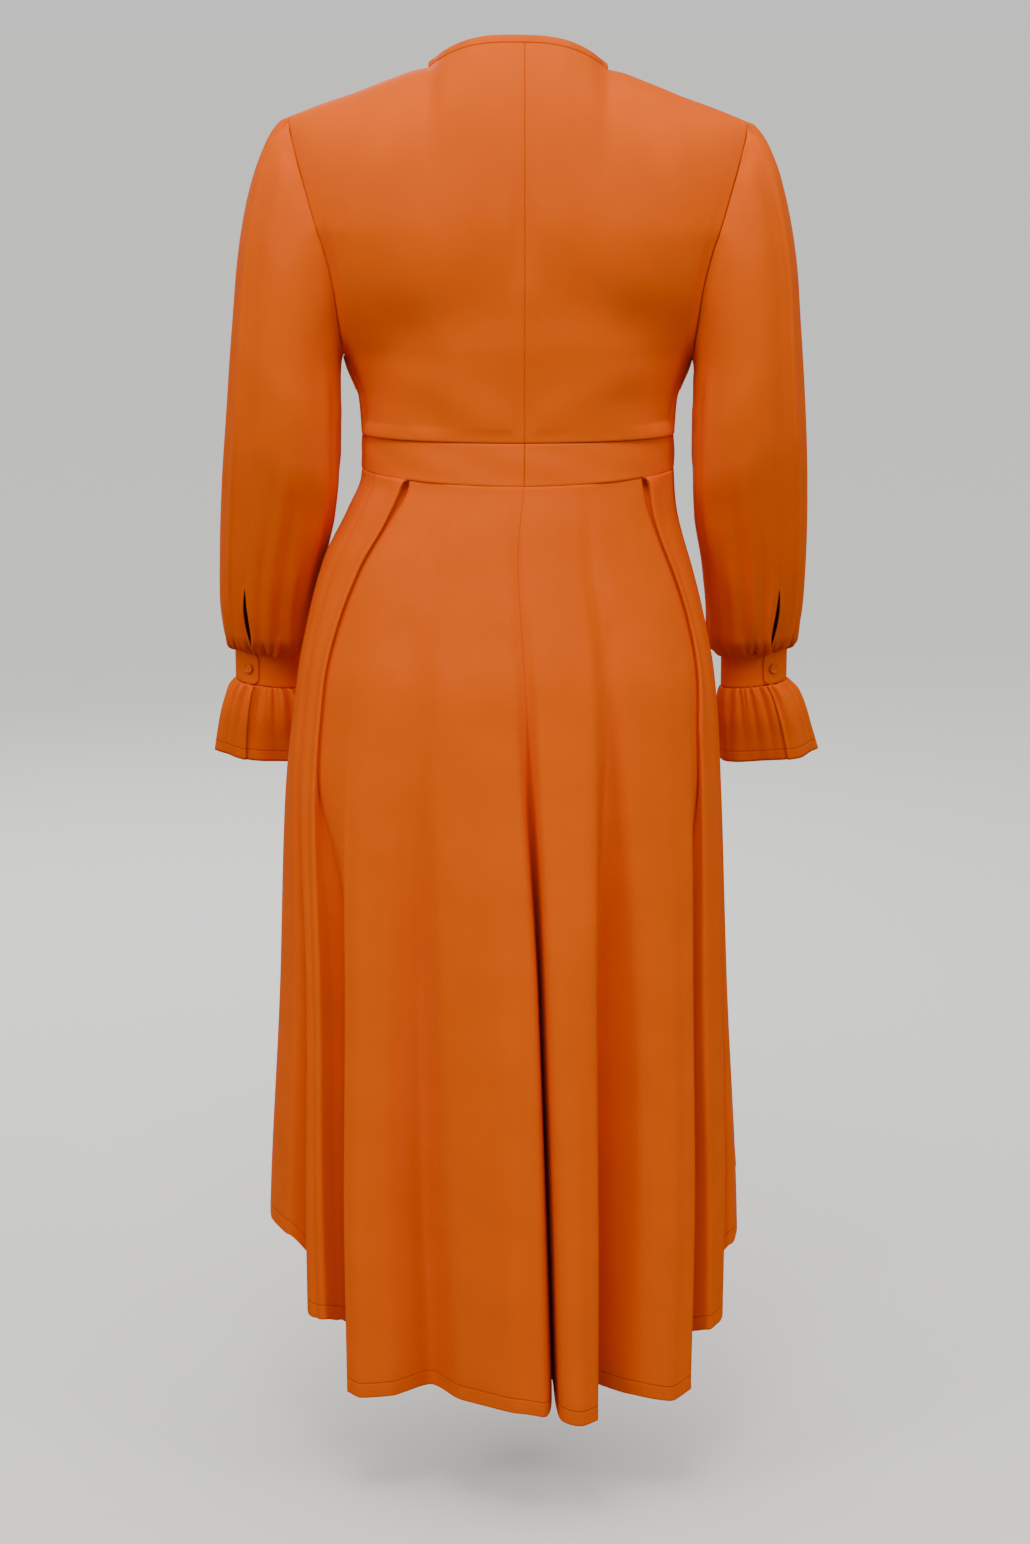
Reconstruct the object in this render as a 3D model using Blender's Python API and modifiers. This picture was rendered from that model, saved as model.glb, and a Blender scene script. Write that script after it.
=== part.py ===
"""Pleated midi dress, worn shape: hollow bodice, waistband, folded skirt, bishop sleeves.

Frame: +Z up, the front faces -Y, the wearer's left is +X. The origin lies between the two
points where the neck binding crosses the shoulders. Sizes are in millimetres until a mesh is
made. Heights in the tables are drops: millimetres below the origin.

A panel is a grid of points on an open surface, worked out from the tables below, and a
Solidify modifier gives it the thickness of its cloth.
"""

import math
from collections import namedtuple

import bmesh
import bpy
import numpy as np
from mathutils import Matrix, Vector

# ---------------------------------------------------------------- driving dimensions, mm
MM = 0.001
CLOTH = 1.3             # wall of every single-layer panel
BINDING = 2.0           # wall of the folded neck binding
BAND_CLOTH = 1.6        # wall of the waistband and cuffs, two layers pressed together
SEAM = 0.4              # gap left along every seam
RIDGE_GAP = 0.7         # the front and back stop this far from the shoulder and side lines
ARMHOLE_EASE = 1.3      # a sleeve starts this far outside its armhole

NECK_HALF = 87.0        # from the middle to where the binding crosses the shoulder
NECK_RISE = 28.7        # the neckline at the centre back, above the shoulder points
NECK_SIDE = 3.0         # the neckline where it crosses the shoulders
NECK_DEPTH = 150.0      # the point of the front neckline, below the shoulder points
BINDING_HEIGHT = 7.0
BINDING_GAP = 1.0       # between the bodice's edge and the binding
BLADE_DROP = 150.0      # above this level the bodice curves in to the shoulder ridge
TILT = 0.011            # the wearer's right shoulder hangs a little lower
MIDDLE = 1.0            # the bodice and arms lie this far to the wearer's left of the origin
CENTRE_BACK = -6.5      # where the centre-back seam lies

WAIST_TOP_BACK, WAIST_TOP_SIDE = 352.7, 357.6
WAIST_LOW_BACK, WAIST_LOW_SIDE = 394.7, 388.8

CUFF_TOP, CUFF_LOW = 588.0, 622.0
CUFF_HALF_X, CUFF_HALF_Y, CUFF_Y = 34.0, 31.0, -85.0
CUFF_TILT = 4.5         # the outer side of a cuff sits this much higher than its middle
CUFF_LAP = 35.0         # degrees by which the button end lies over the other end
CUFF_END = 77.0         # angle of the button end, from the outer side towards the back
CUFF_LIFT = 2.4         # the button end lies this far outside the end below it

SLIT_TOP_ANGLE = 54.0   # where the sleeve slit starts, from the outer side towards the back
SLIT_GAP = 6.0
SLIT_START = 9.0        # sleeve station at which the slit opens
GATHERS, GATHER_HEIGHT = 14, 2.6        # small folds where a sleeve meets its cuff
CAP_PLEATS, CAP_PLEAT_HEIGHT = 8, 2.2   # folds to a full turn, of which the cap has the top ones
CREASE_ANGLE, CREASE_WIDTH, CREASE_HEIGHT = 38.0, 11.0, 3.0     # the long crease down a sleeve
RUFFLE_WAVES, RUFFLE_FLARES = 18, 5     # fine gathers and broad waves of a ruffle
RUFFLE_LAP = 14.0       # degrees by which the ruffle's end lies over its other end
RUFFLE_LIFT = 3.2

BUTTON_RADIUS, BUTTON_HEIGHT, BUTTON_ANGLE = 5.0, 2.4, 60.0

# ---------------------------------------------------------------- tables
# Bodice below the shoulder blades: half width, depth to the back and front, squareness.
Torso = namedtuple("Torso", "drop half_width back front square")
TORSO = (
    Torso(150, 232.0, 103, -98, 2.6),
    Torso(200, 211.0, 102, -114, 2.5),
    Torso(240, 192.0, 99, -123, 2.4),
    Torso(262, 180.0, 97, -126, 2.3),
    Torso(276, 172.5, 95, -126, 2.2),
    Torso(320, 158.5, 90, -120, 2.1),
    Torso(360, 155.6, 88, -112, 2.0),
)

# Height of the shoulder ridge by the distance from the middle; inside the neck it is only
# the level the surface beside the neckline heads for.
Ridge = namedtuple("Ridge", "side height")
SHOULDER = (Ridge(0, 60.0), Ridge(40, 49.0), Ridge(68, 26.0), Ridge(NECK_HALF, NECK_SIDE),
            Ridge(101, 0.2), Ridge(121, -7.0), Ridge(142, -15.0), Ridge(162, -22.9),
            Ridge(186, -31.0), Ridge(207, -38.9), Ridge(225, -46.0))

# The side edge of the bodice: armhole down to 276, then the side seam.
Edge = namedtuple("Edge", "drop back_x front_x")
ARMHOLE_TOP, ARMHOLE_LOW = 46.0, 276.0
WAIST_HALF = 155.6
SIDE_EDGE = (
    Edge(46, 225.0, 225.0), Edge(70, 219.0, 212.0), Edge(110, 207.0, 196.0),
    Edge(147, 196.0, 184.0), Edge(173, 187.5, 177.0), Edge(209, 179.5, 171.0),
    Edge(239, 176.0, 169.0), Edge(262, 173.5, 169.5), Edge(276, 172.5, 172.5),
    Edge(320, 158.5, 158.5), Edge(360, 155.6, 155.6),
)

# The skirt's smooth body, which the folds stand out from and sink into.
Body = namedtuple("Body", "drop half_width middle back front")
BODY = (
    Body(350, 155.6, 1.0, 88, -112), Body(395, 157.0, 1.5, 95, -118),
    Body(430, 165.0, 7.0, 104, -125), Body(480, 183.0, 12.5, 114, -133),
    Body(530, 196.0, 13.0, 124, -141), Body(600, 208.5, 13.0, 135, -150),
    Body(725, 218.5, 15.0, 141, -158), Body(930, 225.0, 14.5, 146, -166),
    Body(1150, 236.0, 14.5, 150, -176), Body(1350, 241.0, 14.5, 152, -182),
)

# Skirt folds, from the wearer's left side across the back to the right side. Each has the
# angles of its two edges from the centre back, how far its crest stands out, and how far the
# valley after it sinks in, at four levels: waist, hip, thigh and hem.
FOLD_DROPS = (392.0, 600.0, 900.0, 1310.0)
Fold = namedtuple("Fold", "name left right out sink lean")
BACK_FOLDS = (
    Fold("left_side", (84, 94, 96, 97), (68, 76, 69, 66), (0, 3, 7, 11), (0, 3, 10, 24), 0.0),
    Fold("left_roll", (62, 69, 60.5, 55), (44, 58, 52.5, 46), (3.6, 6, 12, 15),
         (0, 7, 26, 38), 0.3),
    Fold("left_panel", (41, 45, 42, 37.5), (31, 31, 29, 25), (-3.6, 4, 14, 25),
         (0, 2, 14, 34), -0.3),
    Fold("centre", (20, 19, 18, 13), (1, -2.5, -7.5, -8.9), (0, 2, 18, 37),
         (0, 3, 32, 62), 0.8),
    Fold("tube", (-5.5, -8.5, -12.4, -12.3), (-22, -24, -22, -21), (0, 4, 27, 50),
         (0, 3, 22, 46), 0.0),
    Fold("right_panel", (-32, -34, -36, -31), (-51, -57, -52.8, -46.6), (-3.6, 4, 15, 26),
         (0, 8, 22, 36), 0.4),
    Fold("right_roll", (-53.8, -62.4, -60, -57), (-74, -79, -75.5, -66.5), (3.6, 6, 9, 12),
         (0, 2, 7, 15), 0.0),
    Fold("right_side", (-80, -84, -81, -72.5), (-92, -95, -92, -85), (0, 3, 6, 10),
         (0, 2, 6, 14), 0.0),
)
# Inner fold of each knife pleat: how far it is tucked sideways under, at the four levels.
PLEAT_TUCK = {"left_roll": (4.0, 3.0, 0.0, 0.0), "right_panel": (-4.0, -3.0, 0.0, 0.0),
              "centre": (0.0, 0.0, -4.0, -10.0)}
RIGHT_EDGE_FOLD = Fold("right_edge", (-98, -101, -100, -93), (-108, -112, -112, -108),
                       (0, 3, 8, 20), (0, 2, 7, 16), 0.0)
FOLD_ROUNDNESS = 0.8    # below 1 the curve between the nodes of a fold is a little flatter
FRONT_START, FRONT_END = 118.0, 260.0   # the front flutes' room, degrees from the centre back
FRONT_OUT = (0, 3, 11, 20)              # their stand-out, and sink, at the four levels
FRONT_FOLDS = 7         # flutes across the front, spread over what the back leaves
FRONT_SHARE = 0.52      # of its room, each front flute's crest takes this much

# How far the hem rises above the centre-back hem, by angle from the centre back.
HEM_DROP = 1320.0
Rise = namedtuple("Rise", "angle left right")
HEM_RISE = (
    Rise(0, 2, 2), Rise(7, 3, -2), Rise(16, 2, -10), Rise(24, 0, -4), Rise(31, 0, 0),
    Rise(37.5, 3, -9), Rise(41.5, 32, -8), Rise(46, 70, -3), Rise(52, 68, 24),
    Rise(57, 76, 48), Rise(62, 118, 50), Rise(66.5, 149, 56), Rise(72.5, 150, 122),
    Rise(80, 151, 127), Rise(86, 153, 140), Rise(93, 160, 184), Rise(101, 172, 190),
    Rise(112, 206, 216), Rise(130, 256, 268), Rise(156, 310, 314), Rise(180, 330, 330),
    Rise(204, 310, 314),
)

# Sleeve stations from armhole to cuff: the outer and inner edge, half the depth, its middle,
# and how far the wearer's right sleeve lies further in.
Station = namedtuple("Station", "out_drop out_x in_drop in_x half_depth y right_in")
SLEEVE = (
    Station(46, 225.0, 276, 172.5, 63.0, 0, 0), Station(60, 239.0, 282, 174.5, 66.0, 0, 1),
    Station(86, 252.0, 290, 175.5, 68.0, 0, 1), Station(126, 265.0, 300, 176.0, 69.0, 0, 2),
    Station(180, 275.0, 318, 176.0, 68.0, 0, 2), Station(250, 282.0, 352, 175.0, 66.0, 0, 3),
    Station(330, 289.5, 398, 176.0, 64.0, -6, 4), Station(410, 298.0, 444, 183.0, 61.0, -24, 7),
    Station(480, 303.5, 496, 197.0, 60.0, -46, 10), Station(532, 306.0, 542, 206.0, 60.0, -66, 13),
    Station(562, 304.0, 570, 209.0, 58.5, -78, 14), Station(577, 300.0, 584, 215.0, 49.0, -83, 14),
    Station(583.5, 292.5, 592, 224.5, 32.5, -85, 14),
)

# Cuff ruffle, seam to hem: middle and half size across and in depth, the height of its fine
# gathers, which fade towards the hem, and of its broad waves, which grow.
Ring = namedtuple("Ring", "drop x half_x y half_y gather flare")
RUFFLE = (
    Ring(622.6, 258.5, 34.0, -85, 31.0, 0.8, 0.0), Ring(633, 259.0, 38.5, -87, 33.5, 2.1, 0.2),
    Ring(655, 260.5, 44.0, -93, 38.0, 1.9, 0.8), Ring(680, 262.0, 49.0, -102, 41.0, 1.4, 1.8),
    Ring(703, 262.5, 52.5, -109, 43.0, 1.0, 3.0),
)
RUFFLE_RIGHT_OUT = 12.0  # the right ruffle's middle lies this much further out than its cuff's

# Grid sizes of the solids.
BODICE_COLUMNS, BODICE_ROWS = 10, 10
SKIRT_ROWS = 13
PANEL_GAP = 0.015       # share of a valley's flank left out at each side of a skirt seam
FOLD_PLACES = (0, 1, 2, 2.5, 2.9, 3.1, 3.5)     # columns of each fold: edge, crest, edge, valley
SLEEVE_COLUMNS = 32
CUFF_COLUMNS, RUFFLE_STEPS = 30, 4
RING_COLUMNS = 22

COLOURS = {             # linear colours of the dyed crepe, the binding and the buttons
    "crepe": (0.79, 0.19, 0.014, 1.0),
    "binding": (0.70, 0.155, 0.011, 1.0),
    "button": (0.62, 0.13, 0.010, 1.0),
}


# ---------------------------------------------------------------- curves and sections
def smooth(xs, ys, x):
    """Smooth curve through (xs, ys), never past its own points, read at x."""
    xs, ys = np.asarray(xs, float), np.asarray(ys, float)
    step = np.diff(xs)
    slope = np.diff(ys) / step
    tangent = np.concatenate(([slope[0]], np.zeros(len(xs) - 2), [slope[-1]]))
    for i in range(1, len(xs) - 1):
        if slope[i - 1] * slope[i] > 0:
            tangent[i] = 2 / (1 / slope[i - 1] + 1 / slope[i])
    x = np.clip(x, xs[0], xs[-1])
    i = np.clip(np.searchsorted(xs, x) - 1, 0, len(xs) - 2)
    t = (x - xs[i]) / step[i]
    return (ys[i] * (2 * t**3 - 3 * t**2 + 1) + ys[i + 1] * (3 * t**2 - 2 * t**3)
            + step[i] * (tangent[i] * (t**3 - 2 * t**2 + t) + tangent[i + 1] * (t**3 - t**2)))


def column(table, name, x, key="drop"):
    """A named column of a table, read smoothly at x."""
    return smooth([getattr(row, key) for row in table], [getattr(row, name) for row in table], x)


def rounded(ratio, square):
    """Height of a superellipse quarter of unit size at a ratio of its width."""
    return (1 - np.clip(ratio, 0, 1) ** square) ** (1 / square)


def ridge_height(x):
    """Height of the shoulder ridge at a place across."""
    return column(SHOULDER, "height", np.abs(x), "side")


def torso_y(x, z, front):
    """Depth of the bodice's surface at a place across and a height."""
    depth = "front" if front else "back"
    drop = np.maximum(-z, BLADE_DROP)
    ratio = np.abs(x) / column(TORSO, "half_width", drop)
    y = column(TORSO, depth, drop) * rounded(ratio, column(TORSO, "square", drop))
    share = (z + BLADE_DROP) / np.maximum(ridge_height(x) + BLADE_DROP, 1.0)
    return y * rounded(np.maximum(share, 0), 2.4)


def body_point(angle, out, drop):
    """Point of the skirt's body at an angle from the centre back, moved outwards."""
    width, middle = column(BODY, "half_width", drop), column(BODY, "middle", drop)
    back, front = column(BODY, "back", drop), column(BODY, "front", drop)
    turn = np.radians(angle)
    return np.stack([middle + (width + out) * np.sin(turn),
                     (back + front) / 2 + ((back - front) / 2 + out) * np.cos(turn),
                     -drop + 0 * turn], axis=-1)


def body_normal(angle, drop):
    """Outward direction, in plan, of the skirt's body at an angle from the centre back."""
    width = column(BODY, "half_width", drop)
    depth = (column(BODY, "back", drop) - column(BODY, "front", drop)) / 2
    turn = np.radians(angle)
    normal = np.stack([np.sin(turn) * depth, np.cos(turn) * width], axis=-1)
    return normal / np.linalg.norm(normal, axis=-1)[..., None]


def waist_drop(angle, back, side):
    """Height of a waistband seam: level at the centre back and front, another at the sides."""
    return side + (back - side) * np.cos(np.radians(angle)) ** 2


# ---------------------------------------------------------------- skirt folds
def front_folds():
    """Flutes of the front panel, continuing from the right edge round to the left side."""
    room = (FRONT_END - FRONT_START) / FRONT_FOLDS
    folds = []
    for k in range(FRONT_FOLDS):
        middle = -(FRONT_START + room * (k + 0.5)) + 3.0 * math.sin(2.4 * k)
        half = room * FRONT_SHARE / 2
        size = 1.0 + 0.22 * math.sin(1.7 * k + 0.6)
        out = tuple(size * value for value in FRONT_OUT)
        folds.append(Fold("front_%d" % k, (middle + half,) * 4, (middle - half,) * 4, out, out,
                          0.25 * math.sin(3.1 * k)))
    return folds


def all_folds():
    """Every fold in order, left side, back, right side, front."""
    return list(BACK_FOLDS) + [RIGHT_EDGE_FOLD] + front_folds()


def fold_nodes():
    """Angle and stand-out at the four levels for the left edge, crest and right edge of every
    fold, and for the valley after it the sink and sideways tuck."""
    folds = all_folds()
    nodes = []
    for k, fold in enumerate(folds):
        left, right = np.array(fold.left, float), np.array(fold.right, float)
        out, sink = np.array(fold.out, float), np.array(fold.sink, float)
        crest = (left + right) / 2 + fold.lean * 0.25 * (right - left)
        round_left, round_right = 0.62 - 0.22 * fold.lean, 0.62 + 0.28 * fold.lean
        nodes += [(left, out * ([1] + [round_left] * 3)), (crest, out),
                  (right, out * ([1] + [round_right] * 3)),
                  (sink, np.array(PLEAT_TUCK.get(fold.name, (0, 0, 0, 0)), float))]
    return nodes


def node_place(nodes, node, drop):
    """Plan position of a node at given heights. A valley lies behind the middle of the gap
    between the edges on its two sides, so that a narrow valley keeps its walls apart."""
    first, second = nodes[node]
    if node % 4 < 3:
        return body_point(smooth(FOLD_DROPS, first, drop), smooth(FOLD_DROPS, second, drop),
                          drop)[..., :2]
    after = (node + 1) % len(nodes)
    turn = -360.0 if after == 0 else 0.0
    before_angle = smooth(FOLD_DROPS, nodes[node - 1][0], drop)
    after_angle = smooth(FOLD_DROPS, nodes[after][0], drop) + turn
    stand = (smooth(FOLD_DROPS, nodes[node - 1][1], drop)
             + smooth(FOLD_DROPS, nodes[after][1], drop)) / 2
    middle = (node_place(nodes, node - 1, drop) + node_place(nodes, after, drop)) / 2
    normal = body_normal((before_angle + after_angle) / 2, drop)
    tangent = np.stack([normal[..., 1], -normal[..., 0]], axis=-1)
    depth = stand + smooth(FOLD_DROPS, first, drop)
    return (middle - normal * depth[..., None]
            + tangent * smooth(FOLD_DROPS, second, drop)[..., None])


def node_index(name, part):
    """Place of a fold's left edge (0), crest (1), right edge (2) or valley (3)."""
    return 4 * [fold.name for fold in all_folds()].index(name) + part


def skirt_points(places, rows):
    """Grid of skirt points: rows from waist seam to hem, columns at places between nodes."""
    nodes = fold_nodes()
    count = len(nodes)
    folds = all_folds()
    hem_angle = np.empty(count)
    waist_angle = np.empty(count)
    for k, fold in enumerate(folds):
        turn = -360.0 if k == len(folds) - 1 else 0.0
        following = folds[(k + 1) % len(folds)]
        for level, angles in ((0, waist_angle), (3, hem_angle)):
            left, right = fold.left[level], fold.right[level]
            angles[4 * k:4 * k + 4] = (left, (left + right) / 2, right,
                                       (right + following.left[level] + turn) / 2)
    folded = np.abs((hem_angle + 180) % 360 - 180)
    is_left = (hem_angle + 180) % 360 - 180 > 0
    rise = np.where(is_left, column(HEM_RISE, "left", folded, "angle"),
                    column(HEM_RISE, "right", folded, "angle"))
    top = waist_drop(waist_angle, WAIST_LOW_BACK, WAIST_LOW_SIDE) + SEAM
    first = np.floor(places).astype(int)
    part = places - first

    def blend(values):
        """Smooth mix of a per-node value at each place."""
        here, following = values[first % count], values[(first + 1) % count]
        return here + (following - here) * part * part * (3 - 2 * part)

    drops = blend(top) + (blend(HEM_DROP - rise) - blend(top)) * np.array(rows)[:, None]

    def node_xy(index):
        """Position across and in depth of one node for every row of its columns."""
        place = np.empty(drops.shape + (2,))
        for node in set(index % count):
            chosen = np.nonzero(index % count == node)[0]
            place[:, chosen] = node_place(nodes, node, drops[:, chosen])
        return place

    p0, p1, p2, p3 = (node_xy(first + k) for k in (-1, 0, 1, 2))

    def chord(a, b):
        """Square root of the distance between two nodes."""
        return np.sqrt(np.linalg.norm(b - a, axis=-1))[..., None] + 1e-6

    d0, d1, d2 = chord(p0, p1), chord(p1, p2), chord(p2, p3)
    m1 = FOLD_ROUNDNESS * d1 * ((p1 - p0) / d0 - (p2 - p0) / (d0 + d1) + (p2 - p1) / d1)
    m2 = FOLD_ROUNDNESS * d1 * ((p2 - p1) / d1 - (p3 - p1) / (d1 + d2) + (p3 - p2) / d2)
    t = part[None, :, None]
    xy = (p1 * (2 * t**3 - 3 * t**2 + 1) + p2 * (3 * t**2 - 2 * t**3)
          + m1 * (t**3 - 2 * t**2 + t) + m2 * (t**3 - t**2))
    return np.concatenate([xy, -drops[..., None]], axis=-1)


# ---------------------------------------------------------------- bodice
def neck_height(x, front):
    """Height of the neckline at a place across."""
    ratio = np.clip(np.abs(x) / NECK_HALF, 0, 1)
    if front:
        return -NECK_DEPTH + (NECK_DEPTH + NECK_SIDE) * ratio ** 1.35
    return NECK_RISE + (NECK_SIDE - NECK_RISE) * ratio ** 2.9


def bodice_points(side, front, columns, rows):
    """Grid of one bodice half, waist to shoulder, middle to side; side is +1 on the left.
    Half of the columns end on the neckline and half on the shoulder."""
    across = np.linspace(0, 1, columns + 1)[None, :]
    up = np.linspace(0, 1, rows + 1)[:, None]
    up = 0.55 * up + 0.45 * np.sin(up * math.pi / 2)
    middle = 0.0 if front else CENTRE_BACK + side * SEAM / 2
    edge_z = -WAIST_TOP_SIDE + (WAIST_TOP_SIDE - ARMHOLE_TOP) * up
    edge_x = side * column(SIDE_EDGE, "front_x" if front else "back_x", -edge_z)
    low_share = 0.2 * across + 0.8 * np.sin(across * math.pi / 2)
    on_neck = np.sin(np.clip(2 * across, 0, 1) * math.pi / 2)
    on_shoulder = np.clip(2 * across - 1, 0, 1)
    neck_x = middle + (side * NECK_HALF - middle) * on_neck
    high_x = neck_x + (edge_x - side * NECK_HALF) * on_shoulder
    x = (1 - up) * (middle + (edge_x - middle) * low_share) + up * high_x
    low_x = x[:1] / WAIST_HALF
    waist = -(WAIST_TOP_SIDE + (WAIST_TOP_BACK - WAIST_TOP_SIDE) * (1 - low_x ** 2)) + RIDGE_GAP / 2
    top = np.where(across < 0.5 + 1e-9, neck_height(x[-1:], front), ridge_height(x[-1:]))
    z = waist + (top - waist) * up
    y = torso_y(x, z, front)
    y = np.minimum(y, -RIDGE_GAP) if front else np.maximum(y, RIDGE_GAP)
    return np.stack([x + MIDDLE, y, z + TILT * x * up], axis=-1)


def front_panel_points(columns, rows):
    """The whole front: the right half reversed and the left half, sharing the middle column."""
    right = bodice_points(-1, True, columns, rows)[:, ::-1]
    return np.concatenate([right, bodice_points(1, True, columns, rows)[:, 1:]], axis=1)


def binding_points(columns, rows):
    """Grid of the neck binding. Its lower edge follows the edges of the bodice panels, from
    the left shoulder round the back, and it carries on in their surface."""
    half = columns // 2 + 1
    panels = [(bodice_points(side, front, columns, rows)[-2:, :half], flip)
              for side, front, flip in ((1, False, True), (-1, False, False),
                                        (-1, True, True), (1, True, False))]
    edges = [points[:, ::-1] if flip else points for points, flip in panels]
    edges = [edges[0], edges[1][:, 1:-1], edges[2], edges[3][:, 1:-1]]
    under, low = np.concatenate(edges, axis=1)
    corners = (0, edges[0].shape[1] + edges[1].shape[1])
    along = np.roll(low, -1, axis=0) - np.roll(low, 1, axis=0)
    normal = np.cross(along, low - under)
    normal /= np.linalg.norm(normal, axis=-1)[:, None]
    for corner in corners:
        low[corner, 1] = 0.0
        normal[corner] = normal[corner - 1] + normal[corner + 1]
    rise = np.cross(normal, along)
    rise /= np.linalg.norm(rise, axis=-1)[:, None]
    return np.stack([low + rise * BINDING_GAP, low + rise * (BINDING_GAP + BINDING_HEIGHT)])


# ---------------------------------------------------------------- sleeves, cuffs and ruffles
def armhole_loop(theta):
    """The armhole at an angle from its top, round by the back, as x, y and z."""
    middle, half = (ARMHOLE_TOP + ARMHOLE_LOW) / 2, (ARMHOLE_LOW - ARMHOLE_TOP) / 2
    drop = middle - half * np.cos(theta)
    back_x, front_x = column(SIDE_EDGE, "back_x", drop), column(SIDE_EDGE, "front_x", drop)
    is_back = np.sin(theta) >= 0
    x = np.where(is_back, back_x, front_x)
    y = np.where(is_back, torso_y(x, -drop, False), torso_y(x, -drop, True))
    return np.stack([x, y, -drop], axis=-1)


def sleeve_points(side, stations, columns):
    """Grid of one sleeve, armhole to cuff, from one side of the slit round to the other."""
    s = np.array(stations)[:, None]
    number = np.arange(len(SLEEVE))

    def at(name):
        """A column of the sleeve table at every station."""
        return smooth(number, [getattr(row, name) for row in SLEEVE], s)

    lower = np.clip((s - SLIT_START) / (len(SLEEVE) - 1 - SLIT_START), 0, 1)
    slit = SLIT_TOP_ANGLE + (CUFF_END - SLIT_TOP_ANGLE) * lower
    theta = np.radians(slit + 360.0 * np.linspace(0, 1, columns + 1)[None, :])
    out_drop, in_drop, out_x, in_x = at("out_drop"), at("in_drop"), at("out_x"), at("in_x")
    shift = at("right_in") if side < 0 else 0.0
    across, depth = (out_x - in_x) / 2, at("half_depth")
    near_cuff = np.clip((s - 6.5) / 5.5, 0, 1) ** 1.5
    near_cap = np.clip(1 - s / 4.5, 0, 1)
    gather = GATHER_HEIGHT * near_cuff * (1 - 0.55 * np.clip(s - 11, 0, 1)) * np.cos(GATHERS * theta)
    pleats = (CAP_PLEAT_HEIGHT * near_cap * np.clip(s - 0.4, 0, 1) * np.cos(CAP_PLEATS * theta)
              * np.clip(np.cos(theta), 0, 1) ** 2)
    aside = (np.degrees(theta) % 360 - CREASE_ANGLE) / CREASE_WIDTH
    crease = CREASE_HEIGHT * np.clip(s / 2, 0, 1) * np.exp(-aside ** 2)
    swell = gather + pleats + crease * (1 - near_cuff)
    x = (out_x + in_x) / 2 - shift + (across + swell) * np.cos(theta)
    y = at("y") + (depth + swell) * np.sin(theta)
    z = -(out_drop + in_drop) / 2 + (in_drop - out_drop) / 2 * np.cos(theta)
    points = np.stack([x, y, z], axis=-1)
    first = SLEEVE[0]
    plain = np.stack([(first.out_x + first.in_x) / 2
                      + (first.out_x - first.in_x) / 2 * np.cos(theta),
                      first.half_depth * np.sin(theta),
                      -(first.out_drop + first.in_drop) / 2
                      + (first.in_drop - first.out_drop) / 2 * np.cos(theta)], axis=-1)
    fade = (np.clip(1 - s / 3, 0, 1) ** 2)[..., None]
    points += (armhole_loop(theta) - plain) * fade
    points[..., 0] += ARMHOLE_EASE * fade[..., 0]
    points[..., 2] -= SEAM * fade[..., 0]
    opening = SLIT_GAP / 2 * np.sin(math.pi * np.clip(lower, 0, 0.82)) * (lower > 0)
    for edge, sign in ((0, 1), (-1, -1)):
        points[:, edge, 0] -= sign * opening[:, 0] * np.sin(theta[:, edge])
        points[:, edge, 1] += sign * opening[:, 0] * np.cos(theta[:, edge])
    points[..., 0] *= side
    points[..., 0] += MIDDLE
    points[..., 2] += TILT * points[..., 0] * np.clip(1 - s / 6, 0, 1)
    return points


def wrap_points(side, rings, columns, lap, lift):
    """Grid of a cuff or ruffle: a strip once round the wrist and on under its own end."""
    turn = np.linspace(0, 360.0 + lap, columns + 1)[None, :]
    theta = np.radians(CUFF_END - turn)
    rows = []
    for ring in rings:
        over = lift * (1 - np.clip((turn - lap) / 60.0, 0, 1)) ** 2
        over = np.where(turn <= lap, lift, over)
        swell = (over + ring.gather * np.cos(RUFFLE_WAVES * np.radians(turn))
                 + ring.flare * np.cos(RUFFLE_FLARES * np.radians(turn)))
        x = ring.x + (ring.half_x + swell) * np.cos(theta)
        y = ring.y + (ring.half_y + swell) * np.sin(theta)
        z = -ring.drop + CUFF_TILT * np.cos(theta)
        rows.append(np.stack([x[0], y[0], z[0]], axis=-1))
    points = np.stack(rows)
    points[..., 0] *= side
    points[..., 0] += MIDDLE
    return points


def cuff_rings(side):
    """The two edges of a cuff."""
    x = (SLEEVE[-1].out_x + SLEEVE[-1].in_x) / 2 - (SLEEVE[-1].right_in if side < 0 else 0)
    return [Ring(drop, x, CUFF_HALF_X, CUFF_Y, CUFF_HALF_Y, 0.0, 0.0)
            for drop in (CUFF_TOP + SEAM, CUFF_LOW)]


def ruffle_rings(side):
    """The ruffle's rings, moved to the wearer's right cuff where needed."""
    if side > 0:
        return list(RUFFLE)
    last = len(RUFFLE) - 1
    return [ring._replace(x=ring.x - SLEEVE[-1].right_in + RUFFLE_RIGHT_OUT * k / last)
            for k, ring in enumerate(RUFFLE)]


# ---------------------------------------------------------------- making objects
def make_material(name):
    """Principled material in one of the dress's colours."""
    material = bpy.data.materials.new(name)
    material.use_nodes = True
    shader = material.node_tree.nodes["Principled BSDF"]
    shader.inputs["Base Color"].default_value = COLOURS[name]
    shader.inputs["Roughness"].default_value = 0.42 if name == "button" else 0.62
    shader.inputs["Metallic"].default_value = 0.0
    material.diffuse_color = COLOURS[name]
    return material


def add_object(name, mesh, material, collection):
    """Object for a finished mesh, in the dress's collection."""
    mesh.materials.append(material)
    made = bpy.data.objects.new(name, mesh)
    collection.objects.link(made)
    return made


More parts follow.
